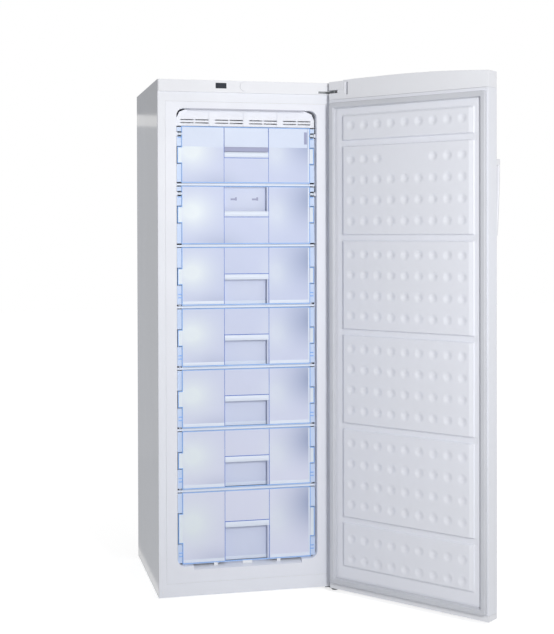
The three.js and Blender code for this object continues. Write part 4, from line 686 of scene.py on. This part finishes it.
def liner_height(u, z):
    """Height of the pressed sheet over its flange, in millimetres. Rim: a step of 2 mm inside the
    gasket. Pads: up to 10 mm, on straight slopes 9 mm wide at the hinge side and at the ends; at
    the free side 0.4 of it on a slope 14 mm wide and 0.6 on a short step. Beads: down to 1 mm
    again, right across. Dimples: 3.6 * (1 - r^2)^1.5 pressed into the pads, r in dimple radii."""
    rim = ease((u - RIM_IN) / 9) * ease((DOOR_WIDTH - RIM_IN - u) / 9)
    rim = rim * ease((z - RIM_LOW) / 3) * ease((RIM_HIGH - z) / 3)
    free_side = 0.4 * slope((PAD_FAR - u) / 14) + 0.6 * slope((PAD_STEP - u) / 2.5)
    sides = slope((u - PAD_NEAR) / 9) * free_side
    ends = slope((z - PAD_LOW) / 9) * slope((PAD_HIGH - z) / 9)
    height = RIM_HEIGHT * rim + (PAD_HEIGHT - RIM_HEIGHT) * sides * ends
    for row in ROWS:
        for k, column in enumerate(COLUMNS):
            if abs(row - BARE_ROW) < 1 and abs(k - BARE_COLUMN) < 2:
                continue
            near = np.abs(z[:, 0] - row) < DIMPLE_REACH, np.abs(u[0] - column) < DIMPLE_REACH
            spot = np.ix_(*near)
            r = np.hypot(u[spot] - column, z[spot] - row) / DIMPLE_RADIUS
            height[spot] -= DIMPLE_DEPTH * np.clip(1 - r * r, 0, 1) ** 1.5
    for middle in BEADS:
        across = slope((BEAD_HALF - np.abs(z - middle)) / 4.5, 0.3)
        along = slope((u - BEAD_NEAR) / 7, 0.3) * slope((BEAD_FAR - u) / 7, 0.3)
        height += (BEAD_LEVEL - height) * across * along
    return height


# %% Door liner
# The grid is finer where the surface bends: at the free side's step, the pads' ends and the beads.
u_lines = np.unique(np.concatenate(
    [np.linspace(LINER_NEAR, LINER_FAR, 200), np.linspace(531, 548, 18)]
))
z_lines = np.unique(np.concatenate([
    np.linspace(LINER_LOW, LINER_HIGH, 440), [84, 86, 91, 93, 1561, 1563, 1568, 1570],
    (BEADS[:, None] + np.outer([-1, 1], [9, 10, 11, BEAD_HALF]).ravel()).ravel(),
]))
u_grid, z_grid = np.meshgrid(u_lines, z_lines)
top = np.stack([HINGE_END - u_grid, INNER + liner_height(u_grid, z_grid), z_grid], -1)
rows, columns = u_grid.shape
border = np.concatenate(
    [np.arange(columns), columns * np.arange(1, rows) + columns - 1,
     (rows - 1) * columns + np.arange(columns - 2, -1, -1), columns * np.arange(rows - 2, 0, -1)]
)
points = top.reshape(-1, 3)
under = points[border] * [1, 0, 1] + [0, INNER - 2, 0]
total, n = len(points), len(border)
walls = [[border[i], border[(i + 1) % n], total + (i + 1) % n, total + i] for i in range(n)]
faces = grid_faces(rows, columns) + [[int(k) for k in w] for w in walls] + [
    list(range(total + n - 1, total - 1, -1))
]
assemble("door_liner_pressed", [(np.concatenate([points, under]), faces, FINISHES["white_liner"])],
         "door_liner", door, sharp=60)
print("door liner grid", rows, "x", columns)

# %% [markdown]
# ## Door gasket
# The gasket is an extruded frame with a flat magnet in its nose: a foot, a soft bellows groove
# and a broad flat nose. One section is carried round a rectangle with mitred corners.

# %% Door gasket
GASKET_OUTER, GASKET_WIDTH, GASKET_LOW, GASKET_HIGH = 5.0, 21.0, 22.0, 1611.0
SECTION = np.array([  # outwards from the middle of the strip, and up from the door
    (10.5, 0.3), (10.5, 1.4), (8.5, 1.8), (7.4, 2.6), (7.1, 5.0), (7.5, 8.4), (6.9, 10.4),
    (5.4, 11.3), (2.5, 11.4), (-5.0, 11.4), (-7.9, 11.3), (-9.4, 10.4), (-10.0, 8.4),
    (-9.6, 5.0), (-9.8, 3.0), (-10.5, 2.0), (-10.5, 0.3),
])
half = GASKET_WIDTH / 2
loop = rounded_loop(
    HINGE_END - DOOR_WIDTH + GASKET_OUTER + half, HINGE_END - GASKET_OUTER - half,
    GASKET_LOW + half, GASKET_HIGH - half, 1.0, 2,
)
path = np.stack([loop[:, 0], np.full(len(loop), INNER), loop[:, 1]], -1)
assemble("door_gasket_lip", [(*sweep(path, SECTION, (0, 1, 0)), FINISHES["gasket_rubber"])],
         "door_gasket", door, sharp=50)
print("gasket section of", len(SECTION), "points round", len(loop), "corners")

# %% [markdown]
# ## Clear fronts
# Each front is one clear moulding, cut open in the middle for a hand. Clear plastic gathers light
# along its edges, so every edge shows as a thin blue line, and wherever two layers lie behind each
# other it looks brighter. The sheet is a rounded copy of the solid; a half-round bead is carried
# along its outline, and slim bars stand for the doubled places: the grip, the foot and the rims.
# Thin plates in the two flaps stand for the pale band, slot and vents that show through them; the
# slot's dim plate in the first flap is painted shade under the cover behind it.

# %% Outline and bead of a front
NARROW, WIDE, SKIRT_OUT = 216.5, 230.0, 231.5  # half widths
POCKET_HALF, SHEET_FACE, INSET_FACE = 75.0, 18.0, 36.0
TAB_FOOT, RUNGS, SKIRT_GAP = 67.0, (25.5, 36.5), 0.4
BOSSES = {True: ((3, 17), (34, 65)), False: ((3, 65),)}  # on hung fronts and on standing ones
EDGE_BEAD = np.array([(0, 0), (-0.1, 0.7), (-0.8, 1.1), (-1.8, 1.1), (-2.5, 0.6), (-2.6, 0)])
THIN_LINE = np.array([(-0.9, 0), (-0.6, 0.8), (0.6, 0.8), (0.9, 0)])


def front_outline(height, tab_low, tab_high):
    """A front's edge as (x, z) corners from its foot, anticlockwise: narrow, with a wide tab."""
    right = [(NARROW, 0), (NARROW, tab_low), (WIDE, tab_low), (WIDE, tab_high),
             (NARROW, tab_high), (NARROW, height)]
    return np.array(right + [(-x, z) for x, z in right[::-1]])


def laid(points, section):
    """A section carried along (x, z) points on the face of the sheet."""
    points = np.asarray(points, float)
    path = np.stack([points[:, 0], np.full(len(points), SHEET_FACE), points[:, 1]], -1)
    return sweep(path, section, (0, -1, 0), closed=False)


def slim_bar(x0, x1, z0, z1, proud):
    """A flat bar on the sheet whose long edges are rounded off over 1.2 mm at most."""
    half, soft = abs(z1 - z0) / 2, min(1.2, abs(z1 - z0) / 3)
    section = np.array([(-half, -0.2), (-half, proud / 2), (-half + soft, proud),
                        (half - soft, proud), (half, proud / 2), (half, -0.2)])
    return laid([(x0, (z0 + z1) / 2), (x1, (z0 + z1) / 2)], section)


# %% Clear fronts
def front_edges(foot, height, tab_high, grip_low, grip_high, hung):
    """All that lies on one front, as parts: its edge bead, blue lines, rungs, skirts, bars and
    lips. `at` turns a distance from the foot edge into a height, downwards where it hangs."""

    def at(z):
        return foot - z if hung else foot + z

    def between(z0, z1):
        return sorted((at(z0), at(z1)))

    edge = front_outline(height, TAB_FOOT, tab_high)
    edge = np.stack([edge[:, 0], at(edge[:, 1])], -1)[:: -1 if hung else 1]
    path = np.stack([edge[:, 0], np.full(len(edge), SHEET_FACE), edge[:, 1]], -1)
    parts = [(*sweep(path, EDGE_BEAD, (0, -1, 0)), PALE_EDGE)]
    for side in (-1, 1):
        for z in RUNGS:
            rung = slim_bar(side * NARROW, side * (SKIRT_OUT - 4), at(z - 1.4), at(z + 1.4), 0.9)
            parts.append((*rung, PALE_EDGE))
        for z0, z1 in (*BOSSES[hung], (tab_high + 2, height - 2)):
            x0, x1 = sorted((side * (NARROW + SKIRT_GAP), side * SKIRT_OUT))
            skirt = block(x0, x1, SHEET_FACE + 1, SHEET_FACE + 2.2, *between(z0, z1))
            parts.append((*skirt, PALE_SKIRT))
        inner = side * POCKET_HALF
        low_line = [(inner, at(2)), (inner, at(grip_high))]
        high_line = [(inner, at(grip_high)), (inner, at(height - 2))]
        parts.append((*laid(low_line, THIN_LINE * [1.1, 1]), BLUE_EDGE))
        parts.append((*laid(high_line, THIN_LINE * [0.95, 0.9]), BLUE_EDGE))
        if not hung:
            x0, x1 = sorted((side * (POCKET_HALF + 1.5), side * (NARROW - 3)))
            parts.append((*slim_bar(x0, x1, at(2.8), at(13), 0.7), BRIGHT_BAR))
    rim = block(NARROW - 7.5, NARROW - 3, SHEET_FACE - 0.45, SHEET_FACE + 0.5,
                *between(3 if hung else 13, height - 4))
    parts.append((*rim, BRIGHT_BAR))
    grip = slim_bar(-POCKET_HALF + 1, POCKET_HALF - 1, at(grip_low), at(grip_high - 1.4), 1.5)
    parts.append((*grip, BRIGHT_BAR))
    foot_z = at(height) if hung else at(0)
    lip = block(-NARROW, NARROW, SHEET_FACE + 0.6, SHEET_FACE + 2.2, foot_z - 2.2, foot_z + 0.5)
    parts.append((*lip, PALE_SKIRT))
    if not hung:
        hem = block(-POCKET_HALF + 2, POCKET_HALF - 2, INSET_FACE - 1.4, INSET_FACE, at(1), at(12))
        parts.append((*hem, BRIGHT_BAR))
    # Painted light: the pale lips stand in front of the pocket's side walls, where their shade would show.
    side_lip = block(POCKET_HALF - 6.5, POCKET_HALF - 1, SHEET_FACE + 1, SHEET_FACE + 2.4,
                     *between(2, grip_low))
    parts.append((*side_lip, PALE_LIP))
    inset = block(-POCKET_HALF + 0.5, POCKET_HALF - 0.5, INSET_FACE, INSET_FACE + 1,
                  *between(0.5, grip_low + 4))
    parts.append((*inset, PALE_LIP))
    top_line = [(-POCKET_HALF, at(grip_high)), (POCKET_HALF, at(grip_high))]
    parts.append((*laid(top_line, THIN_LINE * [1.3, 1.2]), BLUE_EDGE))
    return parts


def cut_edge(middle, normal):
    """Whether a face is part of the sheet's thin edge."""
    return 18.2 < middle[1] < 20.4 and abs(normal.y) < 0.5


def pocket_wall(middle, normal):
    """Whether a face is one of the pocket's side walls, which take the bright bar's colour as
    painted light in place of their shade.
    """
    return middle[1] > 20.6 and 72 < abs(middle[0]) < 78 and abs(normal.x) > 0.9


# Plates as (left, right, from and to below the flap's upper edge, depth, finish).
SEEN_THROUGH = {
    "flap_1": ((-213, -76.5, 3, 66, SHEET_FACE, PALE_BAND),
               (-73.5, 73.5, 3, 66, SHEET_FACE, PALE_BAND),
               (76.5, 196, 3, 66, SHEET_FACE, PALE_BAND),
               (196, 207, 3, 14, SHEET_FACE, PALE_BAND),
               (196.5, 205, 14.5, 54, SHEET_FACE, DIM_SHAPE),
               (196, 207, 54.5, 66, SHEET_FACE, PALE_BAND),
               # The dim strip under the pale band: painted shade under the cover behind the flap.
               (-73.5, 73.5, 66.5, 81, SHEET_FACE, DIM_SHAPE)),
    "flap_2": ((-50, -35, 40, 46, INSET_FACE, DIM_SHAPE), (-35, -29, 36, 47, INSET_FACE, DIM_SHAPE),
               (22, 37, 40, 46, INSET_FACE, DIM_SHAPE), (37, 43, 36, 47, INSET_FACE, DIM_SHAPE)),
}
FEET_DROP = 6.0  # the bottom front's solid has little feet that hang this far below its edge
FEET = ((0, 16, 12.5), (-106, 6, 9), (106, 6, 9))  # where, half width, drop
SIZES = {True: (165, 112, 131), False: (121, 82.5, 101.5)}  # tops of the tab, pocket and grip
for node in ["flap_1", "flap_2"] + [f"drawer_{i}_front" for i in range(1, 6)]:
    low, high = ((corner.z - ORIGIN[2]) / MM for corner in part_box(node))
    deep, hung = node == "drawer_5_front", node.startswith("flap")
    low += FEET_DROP * deep
    # The pocket's side walls are painted bright: painted light in place of the shade in the pocket.
    rounded_copy(node, 0.5, accents=[(PALE_EDGE, cut_edge), (BRIGHT_BAR, pocket_wall)],
                 spans=(-WIDE, WIDE, low, high))
    parts = front_edges(high if hung else low, high - low, *SIZES[deep], hung)
    for x0, x1, z0, z1, y, look in SEEN_THROUGH.get(node, ()):
        patch = block(x0, x1, y - 0.25, y + 0.3, high - z1, high - z0)
        parts.append((*patch, look))
    for x, half, drop in FEET if deep else ():
        foot = block(x - half, x + half, SHEET_FACE - 0.4, SHEET_FACE + 2, low - drop + 0.3, low)
        parts.append((*foot, BRIGHT_FOOT))
    assemble(node + "_edges", parts, node, sharp=40, hides=False)
# Painted shade on the liner: a grey strip along the cavity's top edge, and pale strips in the tone of the shaded
# gaps beside the fronts, stand where there is only shade.
TOP_STRIP = (-195, 195, -0.3, 2, 1584.8, 1588.8)  # the shaded edge over the cavity
SIDE_STRIPS = ((78, 1140), (1147, 1300), (1340, 1495))  # heights, with gaps at the flaps' pins
NOSE_FRONT, NOSE_BACK, NOSE_DROP = 19.5, 26.3, 6.6
painted_shade_strips = [(*block(*TOP_STRIP), SHADED_WHITE)]
for side in (-1, 1):
    for z0, z1 in SIDE_STRIPS:
        x0, x1 = sorted((side * 232, side * 235.2))
        painted_shade_strips.append((*block(x0, x1, 24, 26, z0, z1), PALE_LIP))
assemble("inner_liner_edges", painted_shade_strips, "inner_liner", sharp=40, hides=False)
for i in range(1, 6):
    rounded_copy(f"drawer_{i}_tub", 0.5)
for i in range(1, 7):
    rounded_copy(f"shelf_{i}", 0.5)
    top = (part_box(f"shelf_{i}")[1].z - ORIGIN[2]) / MM
    nose = block(-SKIRT_OUT, SKIRT_OUT, NOSE_FRONT, NOSE_BACK, top - NOSE_DROP, top - 0.1)
    assemble(f"shelf_{i}_nose", [(*nose, BRIGHT_BAR)], f"shelf_{i}", hides=False)
print("fronts and shelves dressed")

# %% [markdown]
# ## The back
# Behind the cabinet hangs the condenser, a serpentine of black pipe with upright wires welded to
# both of its faces, and below it stands the compressor, a drawn steel can with a weld seam round
# its middle. A pipe is a circle carried along a path in space, and the can is a profile turned
# round its axis.


# %% Pipe and turned shapes
def pipe(points, radius, sides=10):
    """A circle carried along a path in space, closed at its ends. The frame of each ring is the
    last one turned as little as the path allows: its side is the old side less its part along
    the new direction."""
    points = np.asarray(points, float)
    along = np.gradient(points, axis=0)
    along /= np.linalg.norm(along, axis=1, keepdims=True)
    side = np.cross(along[0], [0.31, 0.83, 0.46])
    sides_of = []
    for direction in along:
        side = side - direction * (side @ direction)
        side /= np.linalg.norm(side)
        sides_of.append(side)
    sides_of = np.array(sides_of)
    other = np.cross(along, sides_of)
    angle = np.linspace(0, 2 * np.pi, sides, endpoint=False)[None, :, None]
    rings = points[:, None] + radius * (
        np.cos(angle) * sides_of[:, None] + np.sin(angle) * other[:, None]
    )
    n = len(points)
    ends = [list(range(sides)), list(range(n * sides - 1, (n - 1) * sides - 1, -1))]
    return rings.reshape(-1, 3), grid_faces(n, sides, wrap_columns=True) + ends


def turned(profile, x, y, sides=64):
    """A profile of (radius, height) pairs turned round an upright axis at (x, y)."""
    profile = np.asarray(profile, float)
    angle = np.linspace(0, 2 * np.pi, sides, endpoint=False)[None, :]
    r, z = profile[:, :1], profile[:, 1:]
    rings = np.stack([x + r * np.cos(angle), y + r * np.sin(angle), z + 0 * angle], -1)
    return rings.reshape(-1, 3), grid_faces(len(profile), sides, wrap_columns=True)


def arc(cx, cz, rx, rz, start, stop, y, steps=9):
    """Points of an ellipse's arc in the plane at depth y, between two angles in degrees."""
    t = np.radians(np.linspace(start, stop, steps))
    return np.stack([cx + rx * np.cos(t), np.full(steps, y), cz + rz * np.sin(t)], -1)


# %% Condenser
RUNS, RUN_LOW, RUN_PITCH, RUN_HALF = 10, 340.0, 124.0, 195.0
COIL_Y = 531.0
DRIER = np.array([-150.0, 504.0, 236.0])
lead = [DRIER + (0, 0, 0.8), DRIER + (0, 0, 8), DRIER + (-3, 1.5, 14), DRIER + (-14, 8, 18),
        (-RUN_HALF - 14, COIL_Y - 6, 255), (-RUN_HALF - 25, COIL_Y - 2, 262),
        (-RUN_HALF - 28, COIL_Y, 275), (-RUN_HALF - 28, COIL_Y, 322)]
winding = [np.array(lead), arc(-RUN_HALF - 16, RUN_LOW - 12, 12, 12, 180, 90, COIL_Y, 5)]
for i in range(RUNS):
    z, side = RUN_LOW + i * RUN_PITCH, -1 if i % 2 else 1
    winding.append(np.array([(x, COIL_Y, z) for x in np.linspace(-side, side, 8) * RUN_HALF]))
    if i < RUNS - 1:
        turn = (-90, 90) if side > 0 else (270, 90)
        winding.append(
            arc(side * RUN_HALF, z + RUN_PITCH / 2, 37, RUN_PITCH / 2, *turn, COIL_Y, 17)[1:-1]
        )
parts = [(*pipe(np.concatenate(winding), 2.6, 10), FINISHES["black_steel"])]
top_run = RUN_LOW + (RUNS - 1) * RUN_PITCH
WIRES = np.linspace(-184, 184, 33)
for x in WIRES:
    for y in (COIL_Y - 2.9, COIL_Y + 2.9):
        wire = pipe([(x, y, RUN_LOW - 11), (x, y, top_run + 11)], 0.8, 6)
        parts.append((*wire, FINISHES["black_steel"]))
for x in (-160, 160):
    for z in (RUN_LOW + 20, top_run - 20):
        pad = block(x - 8, x + 8, 519.5, COIL_Y + 2, z - 8, z + 8)
        parts.append((*pad, FINISHES["black_steel"]))
assemble("condenser_coil", parts, "condenser", sharp=50)
print("condenser with", 2 * len(WIRES), "wires")

# %% Compressor
CAN_X, CAN_Y, CAN_RADIUS, CAN_LOW, CAN_HEIGHT = 70.0, 412.0, 72.0, 20.0, 150.0
rise = np.linspace(0, 1, 26)
bulge = (1 - np.abs(2 * rise - 1) ** 3.2) ** 0.5  # a can rounded at both ends
bowl = np.stack([CAN_RADIUS * 0.985 * bulge, CAN_LOW + CAN_HEIGHT * rise], -1)
seam = CAN_LOW + 0.46 * CAN_HEIGHT
band = [(CAN_RADIUS * 0.97, seam - 4), (CAN_RADIUS, seam - 3), (CAN_RADIUS, seam + 3),
        (CAN_RADIUS * 0.97, seam + 4), (CAN_RADIUS * 0.9, seam)]
parts = [(*turned(bowl, CAN_X, CAN_Y), FINISHES["black_steel"]),
         (*turned(band + band[:1], CAN_X, CAN_Y), FINISHES["black_steel"])]
plate = rounded_loop(CAN_X - 95, CAN_X + 95, CAN_Y - 45, CAN_Y + 45, 14)
n = len(plate)
levels = (CAN_LOW - 3, CAN_LOW + 2)
stack = np.concatenate([np.column_stack([plate, np.full(n, z)]) for z in levels])
faces = grid_faces(2, n, wrap_columns=True) + [list(range(n)), list(range(n, 2 * n))]
parts.append((stack, faces, FINISHES["black_steel"]))
foot = [(0, 8.3), (8, 8.3), (9, 9.5), (9, 12), (7, 13), (7, 14), (9, 15), (8.6, 18), (0, 18)]
for dx, dy in ((-82, -33), (82, -33), (-82, 33), (82, 33)):
    parts.append((*turned(foot, CAN_X + dx, CAN_Y + dy, 24), FINISHES["black_plastic"]))
assemble("compressor_can", parts, "compressor", sharp=40)
print("compressor can of", len(rise), "rings")

# %% [markdown]
# The solids that are left have their real shape already, so they only get rounded edges. The
# handle is meant for the palm and is rounded most.

# %% Other mouldings and sheets
rounded_copy("door_handle", 2.6, segments=4)
rounded_copy("door_top_cap", 0.5, 3.0, lambda x, y, z: z > 1655, segments=3)
rounded_copy("door_skin", 0.6)
for node in "rear_roller_left rear_roller_right cord_gland drain_tube filter_drier".split():
    rounded_copy(node, 0.8)
for node in "base_rail floor_pan rear_panel control_box fan_impeller fan_motor".split():
    rounded_copy(node, 0.4)

# %% [markdown]
# ## Lamps, floor and backdrop
# One tall soft box stands close in front, a little to the right of the camera, and an even dome
# of light fills the rest. Close light falls off towards the foot of the freezer, as it does in a
# studio. The white around the freezer is the world's colour as the camera sees it, so it costs no
# light on the object.

# %% Lamps
key = bpy.data.lights.new("key", "AREA")
key.shape, key.size, key.size_y = "RECTANGLE", 0.5, 1.3
key.energy = 48.0
key_object = bpy.data.objects.new("key", key)
bpy.context.scene.collection.objects.link(key_object)
key_object.location = (0.15, -2.95, 1.62)
key_object.rotation_euler = (math.radians(83), 0, 0)
key_object.visible_camera = False

# %% [markdown]
# The freezer's glossy side mirrors what stands behind it on the left: the studio's grey wall and
# floor, with one bright gap near the top. Three plain flags stand for them, for mirrored light
# alone, so they cast no shadow and no camera sees them.

# %% Dark flags
GAP_LOW, GAP_HIGH, WALL_Y, WALL_LEFT, WALL_RIGHT = 1.76, 1.82, 2.5, -2.4, -0.4
WALLS = (("wall_low", 0.0, GAP_LOW, 0.63), ("wall_high", GAP_HIGH, 2.8, 0.48))
GROUND_AT, GROUND_RIGHT = 0.01, -0.52


def flag(name, corners, strength):
    """A four-cornered grey card that only mirrored rays meet."""
    grey = bpy.data.materials.new(name)
    grey.use_nodes = True
    shader = grey.node_tree.nodes["Principled BSDF"]
    shader.inputs["Base Color"].default_value = (0, 0, 0, 1)
    shader.inputs["Specular IOR Level"].default_value = 0.0
    shader.inputs["Emission Color"].default_value = (0.94, 0.96, 1.0, 1)
    shader.inputs["Emission Strength"].default_value = strength
    mesh = bpy.data.meshes.new(name)
    mesh.from_pydata(corners, [], [(0, 1, 2, 3)])
    mesh.materials.append(grey)
    card = bpy.data.objects.new(name, mesh)
    bpy.context.scene.collection.objects.link(card)
    card.visible_camera = card.visible_diffuse = card.visible_shadow = False
    card.visible_transmission = False


for name, z0, z1, strength in WALLS:
    flag(name, [(WALL_LEFT, WALL_Y, z0), (WALL_RIGHT, WALL_Y, z0), (WALL_RIGHT, WALL_Y, z1),
                (WALL_LEFT, WALL_Y, z1)], strength)
flag("ground_card", [(WALL_LEFT, 0, GROUND_AT), (GROUND_RIGHT, 0, GROUND_AT),
                     (GROUND_RIGHT, WALL_Y, GROUND_AT), (WALL_LEFT, WALL_Y, GROUND_AT)], 0.6)
print("flags:", ", ".join(wall[0] for wall in WALLS) + ", ground_card")

# %% World
FILL = 0.37  # strength of the dome for what it lights; what is seen or mirrored of it is 1
world = bpy.data.worlds.new("studio")
bpy.context.scene.world = world
world.use_nodes = True
nodes, link = world.node_tree.nodes, world.node_tree.links.new
rays = nodes.new("ShaderNodeLightPath").outputs
mirrored = larger(nodes, link, rays["Is Glossy Ray"], rays["Is Transmission Ray"])
level = nodes.new("ShaderNodeMapRange")
level.inputs["To Min"].default_value, level.inputs["To Max"].default_value = FILL, 1.0
link(larger(nodes, link, rays["Is Camera Ray"], mirrored), level.inputs["Value"])
sky = nodes["Background"]
sky.inputs["Color"].default_value = (1.0, 1.0, 1.0, 1.0)
link(level.outputs["Result"], sky.inputs["Strength"])

# %% Floor
FLOOR_LIFT = 0.72  # brings the floor up to white for the eye, and lights nothing
bpy.ops.mesh.primitive_plane_add(size=30)
floor = bpy.context.object
floor.name = "floor"
ground = bpy.data.materials.new("floor_white")
ground.use_nodes = True
nodes, link = ground.node_tree.nodes, ground.node_tree.links.new
shader = nodes["Principled BSDF"]
shader.inputs["Base Color"].default_value = (0.8, 0.8, 0.8, 1)
shader.inputs["Roughness"].default_value = 0.9
shader.inputs["Specular IOR Level"].default_value = 0.0
rays = nodes.new("ShaderNodeLightPath").outputs
lift = nodes.new("ShaderNodeMath")
lift.operation = "MULTIPLY"
lift.inputs[1].default_value = FLOOR_LIFT
link(larger(nodes, link, rays["Is Camera Ray"], rays["Is Glossy Ray"]), lift.inputs[0])
shader.inputs["Emission Color"].default_value = (1, 1, 1, 1)
link(lift.outputs["Value"], shader.inputs["Emission Strength"])
floor.data.materials.append(ground)

bpy.context.scene.view_settings.view_transform = "Standard"
bpy.context.view_layer.update()
